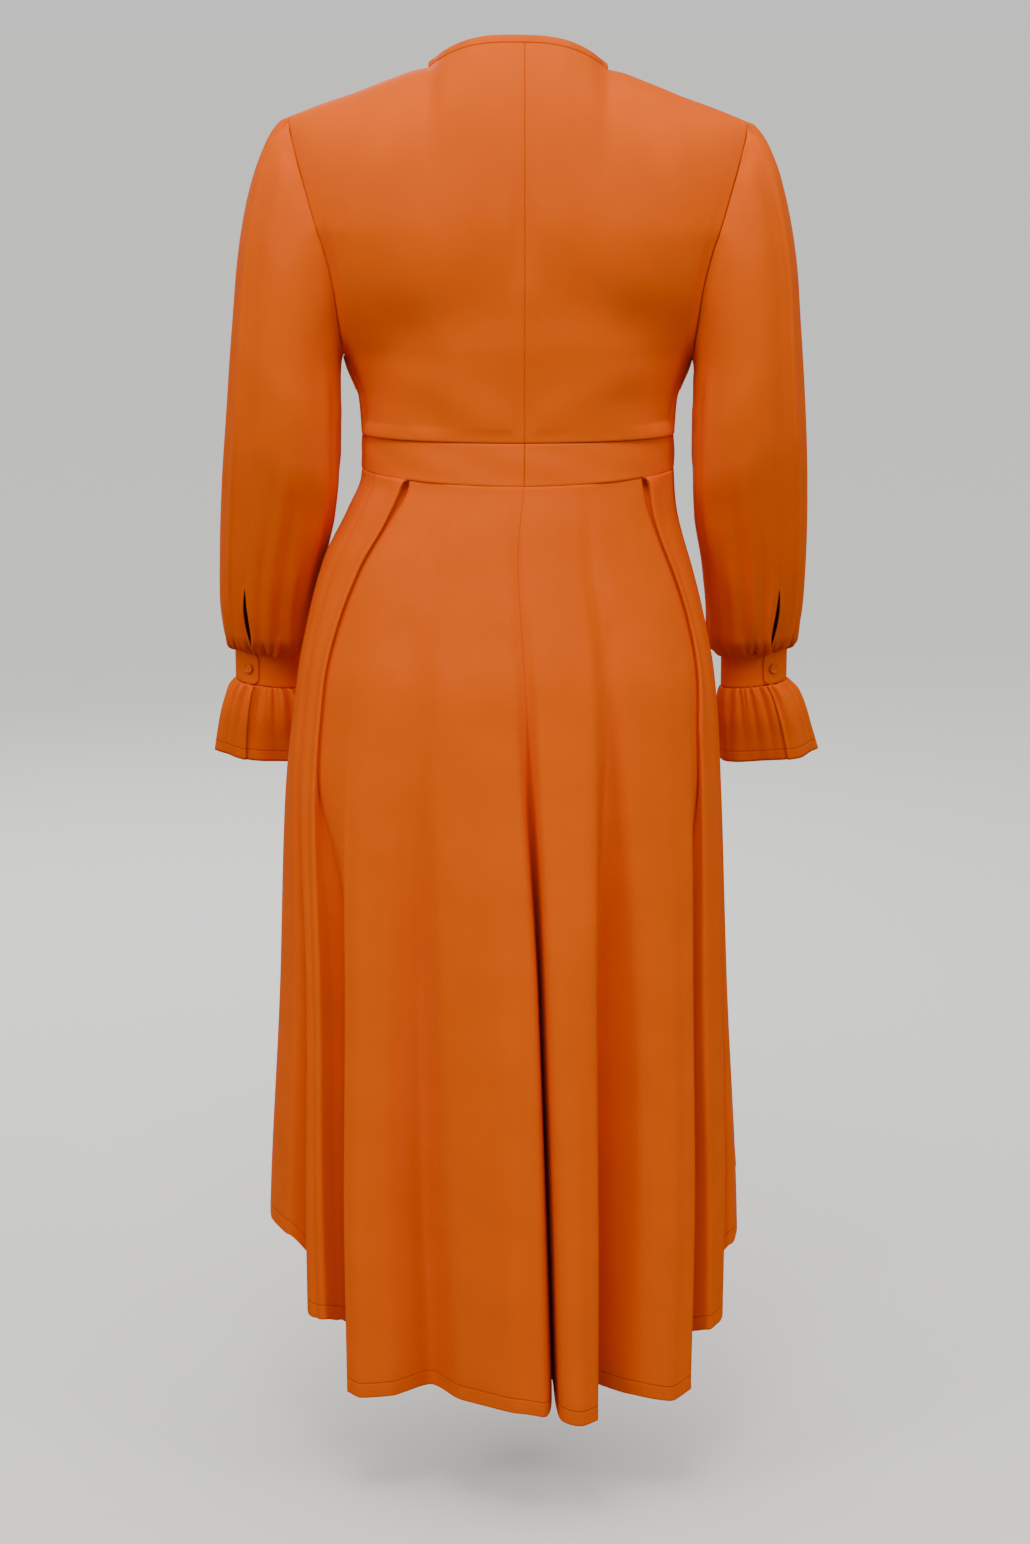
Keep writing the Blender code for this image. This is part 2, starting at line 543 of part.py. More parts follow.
def panel(name, points, inside, wall, material, collection):
    """Cloth panel: a grid surface facing away from the inside point, with its wall inwards."""
    rows, columns = points.shape[:2]
    shape = bmesh.new()
    corners = [[shape.verts.new(Vector(points[r, c]) * MM) for c in range(columns)]
               for r in range(rows)]
    for r in range(rows - 1):
        for c in range(columns - 1):
            shape.faces.new((corners[r][c], corners[r][c + 1],
                             corners[r + 1][c + 1], corners[r + 1][c]))
    bmesh.ops.remove_doubles(shape, verts=shape.verts, dist=0.00002)
    bmesh.ops.triangulate(shape, faces=shape.faces, quad_method="SHORT_EDGE")
    shape.normal_update()
    centre = Vector((inside[0] * MM, inside[1] * MM, 0))
    outward = 0.0
    for face in shape.faces:
        away = face.calc_center_median() - centre
        outward += face.normal.dot(Vector((away.x, away.y, 0))) * face.calc_area()
    if outward < 0:
        bmesh.ops.reverse_faces(shape, faces=shape.faces)
    mesh = bpy.data.meshes.new(name)
    shape.to_mesh(mesh)
    shape.free()
    mesh.shade_smooth()
    made = add_object(name, mesh, material, collection)
    solid = made.modifiers.new("cloth thickness", "SOLIDIFY")
    solid.thickness = wall * MM
    solid.offset = -1.0
    return made


def add_bodice(crepe, binding, collection):
    """Two back halves, the front panel and the neck binding."""
    for name, side in (("bodice_back_left", 1), ("bodice_back_right", -1)):
        points = bodice_points(side, False, BODICE_COLUMNS, BODICE_ROWS)
        panel(name, points, (0, 0), CLOTH, crepe, collection)
    points = front_panel_points(BODICE_COLUMNS, BODICE_ROWS)
    panel("bodice_front", points, (0, 0), CLOTH, crepe, collection)
    ring = binding_points(BODICE_COLUMNS, BODICE_ROWS)
    ring = np.concatenate([ring, ring[:, :1]], axis=1)
    panel("neck_band", ring, (1, -10), BINDING, binding, collection)


def add_waistband(crepe, collection):
    """Two back pieces and the front piece of the waistband."""
    half_gap = math.degrees(SEAM / 2 / BODY[1].back)
    start = math.degrees(math.asin(CENTRE_BACK / BODY[1].half_width))
    spans = (("waistband_back_left", start + half_gap, 90 - half_gap),
             ("waistband_back_right", start - half_gap, half_gap - 90),
             ("waistband_front", 90 + half_gap, 270 - half_gap))
    for name, begin, end in spans:
        steps = RING_COLUMNS if name == "waistband_front" else RING_COLUMNS // 2
        angle = np.linspace(begin, end, steps + 1)
        rows = [body_point(angle, 0.0,
                           waist_drop(angle, WAIST_TOP_BACK, WAIST_TOP_SIDE) + RIDGE_GAP / 2),
                body_point(angle, 0.0, waist_drop(angle, WAIST_LOW_BACK, WAIST_LOW_SIDE))]
        panel(name, np.stack(rows), (0, -10), BAND_CLOTH, crepe, collection)


def add_skirt(crepe, collection):
    """Three skirt panels, cut at the centre-back valley and the two side valleys."""
    count = 4 * len(all_folds())
    left_seam = count - 1
    back_seam = node_index("centre", 3)
    right_seam = node_index("right_side", 3)
    spans = (("skirt_back_left", left_seam - count, back_seam),
             ("skirt_back_right", back_seam, right_seam),
             ("skirt_front", right_seam, left_seam))
    rows = np.linspace(0, 1, SKIRT_ROWS + 1) ** 1.12
    for name, begin, end in spans:
        columns = [4 * k + place for k in range(-1, count // 4) for place in FOLD_PLACES]
        inner = [place for place in columns if begin + 0.2 < place < end - 0.2]
        places = np.array([begin + PANEL_GAP] + inner + [end - PANEL_GAP])
        panel(name, skirt_points(places, rows), (0, -15), CLOTH, crepe, collection)


def add_arm(label, side, crepe, button_material, collection):
    """One sleeve with its cuff, cuff button and ruffle."""
    last = len(SLEEVE) - 1
    cuff = cuff_rings(side)
    inside = (side * cuff[0].x, CUFF_Y)
    stations = np.concatenate([np.arange(0, SLIT_START), np.linspace(SLIT_START, last, 5)])
    points = sleeve_points(side, stations, SLEEVE_COLUMNS)
    panel("sleeve_" + label, points, (side * 235.0, -20.0), CLOTH, crepe, collection)
    points = wrap_points(side, cuff, CUFF_COLUMNS, CUFF_LAP, CUFF_LIFT)
    panel("cuff_" + label, points, inside, BAND_CLOTH, crepe, collection)
    columns = round(RUFFLE_WAVES * RUFFLE_STEPS * (360 + RUFFLE_LAP) / 360)
    points = wrap_points(side, ruffle_rings(side), columns, RUFFLE_LAP, RUFFLE_LIFT)
    panel("ruffle_" + label, points, inside, CLOTH, crepe, collection)
    add_button("button_" + label, side, cuff[0].x, button_material, collection)


def add_button(name, side, cuff_x, material, collection):
    """Shallow domed button with its axis square to the cuff, turned from a half profile."""
    profile = ((0.0, BUTTON_HEIGHT), (BUTTON_RADIUS * 0.5, BUTTON_HEIGHT * 0.98),
               (BUTTON_RADIUS * 0.84, BUTTON_HEIGHT * 0.86), (BUTTON_RADIUS, BUTTON_HEIGHT * 0.55),
               (BUTTON_RADIUS * 0.88, BUTTON_HEIGHT * 0.12), (BUTTON_RADIUS * 0.6, 0.0), (0.0, 0.0))
    mesh = bpy.data.meshes.new(name)
    mesh.from_pydata([(r * MM, 0, z * MM) for r, z in profile],
                     [(k, k + 1) for k in range(len(profile) - 1)], [])
    made = add_object(name, mesh, material, collection)
    turned = made.modifiers.new("turned", "SCREW")
    turned.steps = turned.render_steps = 20
    turned.use_merge_vertices = True
    turned.merge_threshold = 0.00001
    theta = math.radians(BUTTON_ANGLE)
    normal = Vector((side * math.cos(theta) / CUFF_HALF_X, math.sin(theta) / CUFF_HALF_Y, 0))
    normal.normalize()
    reach = CUFF_LIFT + 0.45
    place = Vector((side * (cuff_x + CUFF_HALF_X * math.cos(theta)) + MIDDLE,
                    CUFF_Y + CUFF_HALF_Y * math.sin(theta),
                    -(CUFF_TOP + CUFF_LOW) / 2 + CUFF_TILT * math.cos(theta)))
    place += normal * reach
    turn = Vector((0, 0, 1)).rotation_difference(normal).to_matrix().to_4x4()
    made.matrix_world = Matrix.Translation(place * MM) @ turn


def main():
    """Clear the scene and build the dress."""
    for old in list(bpy.data.objects):
        bpy.data.objects.remove(old, do_unlink=True)
    collection = bpy.data.collections.new("pleated_midi_dress")
    bpy.context.scene.collection.children.link(collection)
    crepe, binding, button = (make_material(name) for name in ("crepe", "binding", "button"))
    add_bodice(crepe, binding, collection)
    add_waistband(crepe, collection)
    add_skirt(crepe, collection)
    for label, side in (("left", 1), ("right", -1)):
        add_arm(label, side, crepe, button, collection)


main()
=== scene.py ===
"""Pleated midi dress: the sewn cloth, buttons, studio floor, light and camera.

Every panel is lofted as a fine grid on the form of its solid, gets its creases, seams and hem,
and is given the thickness of its cloth. Sizes are in millimetres until a mesh is made, and
heights in the tables are drops: millimetres below the origin, which lies between the shoulders.
"""

import math
from collections import namedtuple

import bmesh
import bpy
import numpy as np
from bpy.props import FloatProperty, FloatVectorProperty, IntProperty, PointerProperty
from bpy.types import Operator, Panel, PropertyGroup
from mathutils import Matrix, Vector


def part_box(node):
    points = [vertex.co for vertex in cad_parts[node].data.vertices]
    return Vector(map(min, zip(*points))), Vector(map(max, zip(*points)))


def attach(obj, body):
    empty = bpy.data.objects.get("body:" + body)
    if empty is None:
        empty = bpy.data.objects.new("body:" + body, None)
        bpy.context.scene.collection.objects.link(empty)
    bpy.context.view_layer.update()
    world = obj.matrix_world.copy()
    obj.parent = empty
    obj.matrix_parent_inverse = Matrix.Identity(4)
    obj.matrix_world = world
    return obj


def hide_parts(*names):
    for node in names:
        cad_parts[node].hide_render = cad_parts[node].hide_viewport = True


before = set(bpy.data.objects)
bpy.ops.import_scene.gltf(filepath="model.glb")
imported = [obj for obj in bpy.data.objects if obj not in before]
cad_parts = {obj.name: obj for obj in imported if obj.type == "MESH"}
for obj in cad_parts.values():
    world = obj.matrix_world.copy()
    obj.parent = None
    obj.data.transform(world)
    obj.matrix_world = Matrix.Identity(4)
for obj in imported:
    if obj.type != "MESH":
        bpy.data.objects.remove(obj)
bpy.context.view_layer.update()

bl_info = {
    "name": "Pleated Midi Dress",
    "version": (1, 0, 0),
    "blender": (4, 5, 0),
    "location": "View3D > Sidebar > Dress",
    "description": "Sews a long-sleeved pleated midi dress over its packed solids",
    "category": "Object",
}

MM = 0.001


def hex_linear(code):
    """Linear colour of an sRGB hex value."""
    parts = [int(code[k:k + 2], 16) / 255 for k in (1, 3, 5)]
    linear = [p / 12.92 if p <= 0.04045 else ((p + 0.055) / 1.055) ** 2.4 for p in parts]
    return (*linear, 1.0)


def table(columns, *rows, defaults=()):
    """Rows of numbers with named columns."""
    row_type = namedtuple("Row", columns, defaults=defaults)
    return tuple(row_type(*row) for row in rows)


# ---------------------------------------------------------------- sizes of the cut, mm
SEAM = 0.2              # clear width of a seam between two panels
RIDGE_GAP = 0.3         # the same along the shoulders and the top of the waistband
ARMHOLE_EASE = 0.15     # a sleeve starts this far outside its armhole
# Neckline: half its width, its height at the back and at the sides, and the drop of its point.
NECK_HALF, NECK_RISE, NECK_SIDE, NECK_DEPTH = 87.0, 28.7, 3.0, 150.0
BINDING_HEIGHT, BINDING_GAP = 8.4, -0.9     # it starts below the raw edge, which it wraps
BINDING_STEPS, BINDING_EASING = 200, 24     # steps round its ring, and times they are evened out
BLADE_DROP = 150.0      # above this the bodice curves in towards the shoulders
TILT = 0.011            # the wearer's right shoulder hangs a little lower
MIDDLE, CENTRE_BACK = 1.0, -6.5     # places across of the dress's middle and its back seam
WAIST_TOP_BACK, WAIST_TOP_SIDE = 353.2, 353.6
WAIST_LOW_BACK, WAIST_LOW_SIDE = 394.7, 388.8
WAIST_HALF = 155.6      # half the width at the waist
CUFF_TOP, CUFF_LOW = 587.6, 622.0
CUFF_HALF_X, CUFF_HALF_Y, CUFF_Y = 34.0, 31.0, -85.0
CUFF_TILT = 4.5         # the outer side of a cuff sits this much higher than its middle
# Degrees that a cuff's button end overlaps, where that end lies, and how far outside it is.
CUFF_LAP, CUFF_END, CUFF_LIFT = 35.0, 77.0, 2.4
RUFFLE_LAP, RUFFLE_END, RUFFLE_LIFT = 14.0, 70.0, 3.2   # the same for a ruffle
CUFF_CORNER = 9.0       # radius of the button end's corners
# Rows of cloth behind a seam: how deep each lies, and how far it reaches past the seam.
TURNINGS = table("depth reach", (0.6, 0.0), (1.5, 0.16), (4.0, 0.3))
# Rows of the sleeve inside its cuff: share of the way to the cuff's inner side, and drop.
CUFF_TUCK = table("share down", (0.35, 0.9), (0.8, 1.9), (1.0, 3.6), (1.0, 7.0))
CUFF_INSET = 2.2        # from the cuff's face in to the sleeve's end
# Slit over the cuff: where it starts, from the outer side towards the back and in stations of
# the sleeve, its width, the share of its length that gapes, and the ridge bound along it.
SLIT_TOP_ANGLE, SLIT_START, SLIT_GAP, SLIT_SHUT = 64.0, 8.5, 5.4, 0.62
SLIT_RIM, SLIT_BAND = 1.1, 4.4
SLEEVE_GATHERS, SHORT_GATHERS, CAP_WAVES = 14, 30, 13   # each to a full turn
RUFFLE_GATHERS, RUFFLE_FLARES = 18, 5
RUFFLE_HEM = 0.012      # m
BUTTON_RADIUS, BUTTON_HEIGHT, BUTTON_ANGLE = 5.0, 2.4, 60.0
# Insets from the button's edge to its middle: width, and height up or down.
BUTTON_STEPS = ((0.25, 0.0), (0.9, 0.0), (0.35, -0.45), (1.6, -0.12), (0.5, 0.1), (0.6, 0.12))

# Grids: steps up and across each panel, closer together towards its seams.
BODICE_ROWS, BACK_COLUMNS, FRONT_COLUMNS = 100, 70, 60
BAND_ROWS, BAND_BACK_COLUMNS, BAND_FRONT_COLUMNS = 26, 80, 150
SLEEVE_ROWS, SLEEVE_COLUMNS = 146, 204
CUFF_ROWS, CUFF_COLUMNS = 20, 190
RUFFLE_ROWS, RUFFLE_COLUMNS = 42, 270
# Points inside the pieces, across and in depth, from which their cloth faces away.
BODICE_INSIDE, BAND_INSIDE, NECK_INSIDE = (0, 0), (0, -10), (1, -10)
SKIRT_INSIDE, WAIST_AXIS, SLEEVE_INSIDE = (0, -15), (7, -12, 0), (235.0, -20.0)
SIDES = (("left", 1), ("right", -1))
EVERY_EDGE = ("left", "right", "top", "bottom")

# Bodice: half width, depth to the back and front, and how square its section is.
TORSO = table(
    "drop half_width back front square",
    (150, 232, 104, -98, 2.35), (200, 211, 103, -114, 2.25), (240, 192, 100, -123, 2.15),
    (262, 180, 98, -126, 2.1), (276, 172.5, 96, -126, 2.05), (320, 158.5, 91, -120, 2),
    (360, 155.6, 88, -112, 2))
# Height of the shoulder line by distance from the middle.
SHOULDER = table(
    "side height",
    (0, 60), (40, 49), (68, 26), (NECK_HALF, NECK_SIDE), (101, 0.2), (121, -7), (142, -15),
    (162, -22.9), (186, -31), (207, -38.9), (225, -46))
ARMHOLE_TOP, ARMHOLE_LOW = 46.0, 276.0
# Edge of the back and front panel, down the armhole and the side seam.
SIDE_EDGE = table(
    "drop back_x front_x",
    (46, 225, 225), (70, 219, 212), (110, 207, 196), (147, 196, 184), (173, 187.5, 177),
    (209, 179.5, 171), (239, 176, 169), (262, 173.5, 169.5), (276, 172.5, 172.5),
    (320, 158.5, 158.5), (360, 155.6, 155.6))
# Skirt and waistband without their folds: half width, place across, depth to back and front.
BODY = table(
    "drop half_width middle back front",
    (350, 155.6, 1, 88, -112), (395, 157, 1.5, 95, -118), (430, 165, 7, 104, -125),
    (480, 183, 12.5, 114, -133), (530, 196, 13, 124, -141), (600, 208.5, 13, 135, -150),
    (725, 218.5, 15, 141, -158), (930, 225, 14.5, 146, -166), (1150, 236, 14.5, 150, -176),
    (1350, 241, 14.5, 152, -182))

# Skirt folds: angles of both edges from the centre back, stand-out of the crest and sink of the
# valley after it, at the waist, hip, thigh and hem, and how far the crest leans to the right.
FOLD_DROPS = (392.0, 600.0, 900.0, 1310.0)
Fold = namedtuple("Fold", "name left right out sink lean")
BACK_FOLDS = (
    Fold("left_side", (84, 94, 96, 97), (68, 76, 69, 66), (0, 3, 7, 11), (0.5, 7, 14, 25), 0.0),
    Fold("left_roll", (62, 69, 60.5, 55), (43.6, 58, 52.5, 46), (3.0, 8, 13, 15),
         (0, 8, 28, 38), 0.3),
    Fold("left_panel", (43.0, 45, 42, 37.5), (31, 31, 30.5, 27.5), (-1.6, 4, 15, 26),
         (0, 2, 15, 29), -0.3),
    Fold("centre", (20, 18, 15.5, 10.5), (1, -2.5, -7.3, -8.9), (0, 2, 19, 38),
         (0, 4, 36, 64), 0.8),
    Fold("tube", (-5.5, -8.5, -10.6, -12.0), (-22, -24, -21.4, -19.4), (0, 4, 28, 50),
         (0, 5, 28, 48), 0.0),
    Fold("right_panel", (-32, -34, -36, -31), (-51.6, -57, -52.8, -46.6), (-1.6, 4, 16, 26),
         (0, 9, 26, 38), 0.4),
    Fold("right_roll", (-52.2, -62.4, -60, -57), (-74, -79, -75.5, -66.5), (3.0, 7, 10, 12),
         (0, 6, 11, 18), 0.0),
    Fold("right_side", (-80, -84, -81, -72.5), (-92, -95, -92, -85), (0, 3, 6, 10),
         (0, 4, 9, 16), 0.0),
)
# How far the valley after a fold slips to the left at each level, and how far a fold's two
# edges stand out as a share of its crest. Where a fold isn't named, its valley doesn't slip
# and its edges follow from its lean.
VALLEY_TUCK = {"left_panel": (0, 0, 2, 4), "centre": (0, 0, -2, -11), "tube": (0, 0, 7, 9),
               "right_panel": (0, 0, 4, 6)}
EDGE_STAND = {"left_roll": (0.5, 0.8), "left_panel": (0.85, 0.34), "centre": (0.2, 0.88),
              "tube": (0.82, 0.85), "right_panel": (0.35, 0.85), "right_roll": (0.8, 0.5)}
# The two knife pleats: the fold before the pleat's valley, and which of the valley's two sides
# is the upper layer, 1 for the one before it and -1 for the one after it.
KNIFE_PLEATS = {"left_roll": 1, "right_panel": -1}
# Degrees by which an edge of a fold swings aside between the waist and the hip.
PLEAT_BOW = {("right_panel", "right"): -4.2, ("right_roll", "left"): -4.2}
PLEAT_DEEP = 10.0       # the pleat's inner fold lies this far under its edge
PLEAT_STEP = 4.4        # from the face of the upper layer down to the face of the panel
PLEAT_CLOSED, PLEAT_OPEN = 640.0, 860.0     # drops between which the pleat falls open
PLEAT_LIFT, PLEAT_PULL = 2.6, 2.8       # the edge lifts and pulls aside under the waistband
PLEAT_TOP, PLEAT_MOUTH = 391.0, 11.0    # from this drop, and most of all this far below it

# Soft lines that hanging weight draws in the skirt: the place between fold points, the drops
# it runs between, and its width in fold points and height.
DRAPES = table(
    "fold part drop1 drop2 width height",
    ("left_panel", 0.02, 560, 1330, 0.16, 1.3), ("left_panel", 1.5, 640, 1300, 0.5, -1.6),
    ("left_panel", 3, 640, 1330, 0.5, 1.4), ("left_roll", 0.6, 560, 1200, 0.3, 1.2),
    ("left_roll", 1.5, 700, 1330, 0.25, 1.5), ("left_roll", 1.85, 396, 760, 0.3, 2),
    ("left_roll", 1.2, 396, 700, 0.4, -2.2), ("right_roll", 0.15, 396, 760, 0.3, 2),
    ("right_roll", 0.8, 396, 700, 0.4, -2.2), ("left_side", 0.5, 560, 1150, 0.4, 1.6),
    ("left_side", 1.6, 640, 1200, 0.3, -1.4), ("centre", 0.4, 700, 1330, 0.35, -1.7),
    ("centre", 1, 820, 1330, 0.3, 1.4), ("centre", 1.85, 660, 1330, 0.16, 1.5),
    ("tube", 0.5, 760, 1330, 0.3, 1.2), ("tube", 1.5, 900, 1330, 0.35, -1.2),
    ("right_panel", 0.35, 760, 1330, 0.3, 1.5), ("right_panel", 1.3, 660, 1330, 0.3, -1.5),
    ("right_panel", 1.9, 700, 1330, 0.15, 1.2), ("right_roll", 0.7, 520, 1300, 0.3, 1.3),
    ("right_side", 1, 600, 1200, 0.4, -1.5), ("front_0", 1.2, 560, 1200, 0.4, -1.5),
    ("front_1", 0.6, 480, 1100, 0.3, 1.6), ("front_2", 1.4, 520, 1050, 0.4, -1.8),
    ("front_3", 0.8, 460, 1050, 0.3, 1.5), ("front_4", 1.5, 600, 1050, 0.3, 1.3),
    ("front_5", 0.5, 500, 1080, 0.4, -1.6), ("front_6", 1.3, 560, 1180, 0.3, 1.4))
RIGHT_EDGE_FOLD = Fold("right_edge", (-98, -101, -100, -93), (-108, -112, -112, -108),
                       (0, 3, 8, 20), (0, 2, 7, 16), 0.0)
FOLD_ROUNDNESS = 0.8
# Flutes of the front: the angles they are spread over, their stand-out, how many there are, and
# the share of its room that each crest takes.
FRONT_START, FRONT_END = 118.0, 260.0
FRONT_OUT = (0, 3, 11, 20)
FRONT_FOLDS, FRONT_SHARE = 7, 0.52
HEM_DROP = 1320.0
# How far the hem rises above the centre-back hem, by angle from the centre back.
HEM_RISE = table(
    "angle left right",
    (0, 2, 2), (7, 3, -2), (16, 2, -10), (24, 0, -4), (31, 0, 0), (37.5, 3, -9), (41.5, 32, -8),
    (46, 70, -3), (52, 68, 24), (57, 76, 48), (62, 118, 50), (66.5, 142, 56), (72.5, 142, 122),
    (80, 144, 127), (86, 149, 140), (93, 160, 184), (101, 172, 190), (112, 206, 216),
    (130, 256, 268), (156, 310, 314), (180, 330, 330), (204, 310, 314))

# Sleeve stations from armhole to cuff: the outer and inner edge, half the depth, its middle,
# and how far the wearer's right sleeve lies further in.
SLEEVE = table(
    "out_drop out_x in_drop in_x half_depth y right_in",
    (46, 225, 276, 172.5, 63, 0, 0), (60, 239, 282, 174.5, 66, 0, 1),
    (86, 252, 290, 175.5, 68, 0, 1), (126, 265, 300, 176, 69, 0, 2), (180, 275, 318, 176, 68, 0, 2),
    (250, 282, 352, 175, 66, 0, 3), (330, 289.5, 398, 176, 64, -6, 4),
    (410, 298, 444, 183, 61, -24, 7), (480, 303.5, 496, 197, 60, -46, 10),
    (532, 306, 542, 206, 60, -66, 13), (562, 304, 570, 209, 58.5, -78, 14),
    (577, 300, 584, 215, 49, -83, 14), (583.5, 292.5, 592, 224.5, 32.5, -85, 14))
# Cuff ruffle, seam to hem: middle and half size across and in depth, the height of its fine
# gathers, which fade towards the hem, and of its broad waves, which grow.
Ring = namedtuple("Ring", "drop x half_x y half_y gather flare")
RUFFLE = (
    Ring(622.4, 258.5, 34.0, -85, 31.0, 1.5, 0.0), Ring(633, 259.0, 39.7, -87, 34.2, 3.3, 0.2),
    Ring(655, 260.5, 46.0, -93, 39.0, 2.2, 0.9), Ring(680, 262.0, 49.8, -102, 41.4, 0.9, 2.0),
    Ring(703, 262.5, 52.5, -109, 43.0, 0.3, 3.2),
)
RUFFLE_RIGHT_OUT = 12.0  # the right ruffle's hem lies this much further out than its cuff

# Creases of the bodice, pressed in by wear: both ends across and in drop, width and depth.
CREASE = "x1 drop1 x2 drop2 width depth"
BACK_CREASES = table(
    CREASE,
    (72, 240, 124, 264, 34, -5), (122, 250, 150, 330, 26, -4), (96, 285, 90, 322, 24, -2.6),
    (-82, 230, -132, 252, 32, -4.8), (-118, 246, -150, 330, 26, -4),
    (-124, 326, -146, 350, 16, -1.8), (150, 90, 168, 215, 20, 2.4), (-150, 90, -168, 215, 20, 2.4),
    (60, 150, 108, 168, 44, 3), (-60, 148, -108, 164, 44, 3), (30, 330, 105, 296, 20, 1.6),
    (-30, 326, -100, 290, 20, 1.4))
FRONT_CREASES = table(
    CREASE,
    (70, 215, 132, 262, 34, 2.4), (-70, 212, -134, 260, 34, 2.4), (58, 290, 88, 352, 13, -1.6),
    (-60, 292, -90, 352, 13, -1.5), (112, 120, 160, 190, 22, -1.8),
    (-112, 118, -160, 186, 22, -1.7), (20, 300, 30, 350, 16, -0.8), (-24, 306, -34, 350, 15, -0.8))

# Lengthwise creases of a sleeve: station and angle of both ends, width in degrees, height, and
# how much narrower the crease is on its side towards the back.
SLEEVE_LINES = table(
    "start end angle1 angle2 width height crisp",
    (0.1, 11.8, 27, 50, 7, 2.6, 0.22), (0.8, 11.2, 42, 66, 9, -1.8), (3.2, 9.6, 136, 140, 8, 2.6),
    (3.6, 9, 152, 152, 7, -2), (6, 11.3, 96, 92, 6, 2.6), (6.5, 11.5, 108, 104, 6, -2.2),
    (7.2, 11.6, 82, 84, 5, -2.2), (7.6, 11.6, 122, 116, 5, 2), (8, 11.6, 72, 74, 4, 1.6),
    (0, 3, 12, 25, 1.8, -3.6), (0, 2.4, 3, 13, 1.8, -3), (0, 2.8, -7, -13, 1.8, -3),
    (0, 3.2, 16, 30, 3.4, 1.6), (0, 2.6, 7, 18, 3, 1.6), (1, 8, 12, 8, 12, 1.6),
    (2, 10, 225, 232, 14, 2.2), (3, 10.8, 262, 256, 10, -2), (5, 11.2, 292, 290, 9, 2),
    (4.5, 7, 170, 178, 16, -3), (5.6, 8.2, 188, 176, 12, -2.4), defaults=(1.0,))


# ---------------------------------------------------------------- curves and sections
def smooth(xs, ys, x):
    """Smooth curve through (xs, ys), never past its own points, read at x."""
    xs, ys = np.asarray(xs, float), np.asarray(ys, float)
    step = np.diff(xs)
    slope = np.diff(ys) / step
    tangent = np.concatenate(([slope[0]], np.zeros(len(xs) - 2), [slope[-1]]))
    for i in range(1, len(xs) - 1):
        if slope[i - 1] * slope[i] > 0:
            tangent[i] = 2 / (1 / slope[i - 1] + 1 / slope[i])
    x = np.clip(x, xs[0], xs[-1])
    i = np.clip(np.searchsorted(xs, x) - 1, 0, len(xs) - 2)
    t = (x - xs[i]) / step[i]
    return (ys[i] * (2 * t**3 - 3 * t**2 + 1) + ys[i + 1] * (3 * t**2 - 2 * t**3)
            + step[i] * (tangent[i] * (t**3 - 2 * t**2 + t) + tangent[i + 1] * (t**3 - t**2)))


def column(table, name, x, key="drop"):
    """A named column of a table, read smoothly at x."""
    return smooth([getattr(row, key) for row in table], [getattr(row, name) for row in table], x)


def rounded(ratio, square):
    """Height of a superellipse quarter of unit size at a ratio of its width."""
    return (1 - np.clip(ratio, 0, 1) ** square) ** (1 / square)


def unit(vectors):
    """Vectors of length one."""
    return vectors / np.maximum(np.linalg.norm(vectors, axis=-1), 1e-9)[..., None]


def torso_y(x, z, front):
    """Depth of the bodice's surface at a place across and a height."""
    drop = np.maximum(-z, BLADE_DROP)
    ratio = np.abs(x) / column(TORSO, "half_width", drop)
    depth = column(TORSO, "front" if front else "back", drop)
    y = depth * rounded(ratio, column(TORSO, "square", drop))
    ridge = column(SHOULDER, "height", np.abs(x), "side")
    share = (z + BLADE_DROP) / np.maximum(ridge + BLADE_DROP, 1.0)
    return y * rounded(np.maximum(share, 0), 2.4)


def body_point(angle, out, drop):
    """Point of the skirt's body at an angle from the centre back, moved outwards."""
    width, middle = column(BODY, "half_width", drop), column(BODY, "middle", drop)
    back, front = column(BODY, "back", drop), column(BODY, "front", drop)
    turn = np.radians(angle)
    return np.stack([middle + (width + out) * np.sin(turn),
                     (back + front) / 2 + ((back - front) / 2 + out) * np.cos(turn),
                     -drop + 0 * turn], axis=-1)


def body_axes(angle, drop):
    """Directions in plan, out of the skirt's body and along it, at an angle."""
    width = column(BODY, "half_width", drop)
    depth = (column(BODY, "back", drop) - column(BODY, "front", drop)) / 2
    turn = np.radians(angle)
    normal = unit(np.stack([np.sin(turn) * depth, np.cos(turn) * width], axis=-1))
    return normal, np.stack([normal[..., 1], -normal[..., 0]], axis=-1)


def waist_drop(angle, back, side):
    """Height of a waistband seam: level at the centre back and front, another at the sides."""
    return side + (back - side) * np.cos(np.radians(angle)) ** 2


def spread(count, low_edge, high_edge, closeness=0.35):
    """Even steps from 0 to 1, closer together towards each edge that is asked for."""
    t = np.linspace(0, 1, count + 1)
    if low_edge and high_edge:
        return t - closeness * np.sin(2 * math.pi * t) / (2 * math.pi)
    if low_edge:
        return t - closeness * np.sin(math.pi * t) / math.pi
    if high_edge:
        return t + closeness * np.sin(math.pi * t) / math.pi
    return t


# ---------------------------------------------------------------- skirt folds
def all_folds():
    """Every fold in order, left side, back, right side, front."""
    room = (FRONT_END - FRONT_START) / FRONT_FOLDS
    folds = list(BACK_FOLDS) + [RIGHT_EDGE_FOLD]
    for k in range(FRONT_FOLDS):
        middle = -(FRONT_START + room * (k + 0.5)) + 3.0 * math.sin(2.4 * k)
        half = room * FRONT_SHARE / 2
        size = 1.0 + 0.22 * math.sin(1.7 * k + 0.6)
        out = tuple(size * value for value in FRONT_OUT)
        folds.append(Fold("front_%d" % k, (middle + half,) * 4, (middle - half,) * 4, out, out,
                          0.25 * math.sin(3.1 * k)))
    return folds


Node = namedtuple("Node", "kind first second waist hem bow side before after",
                  defaults=(0, 0))


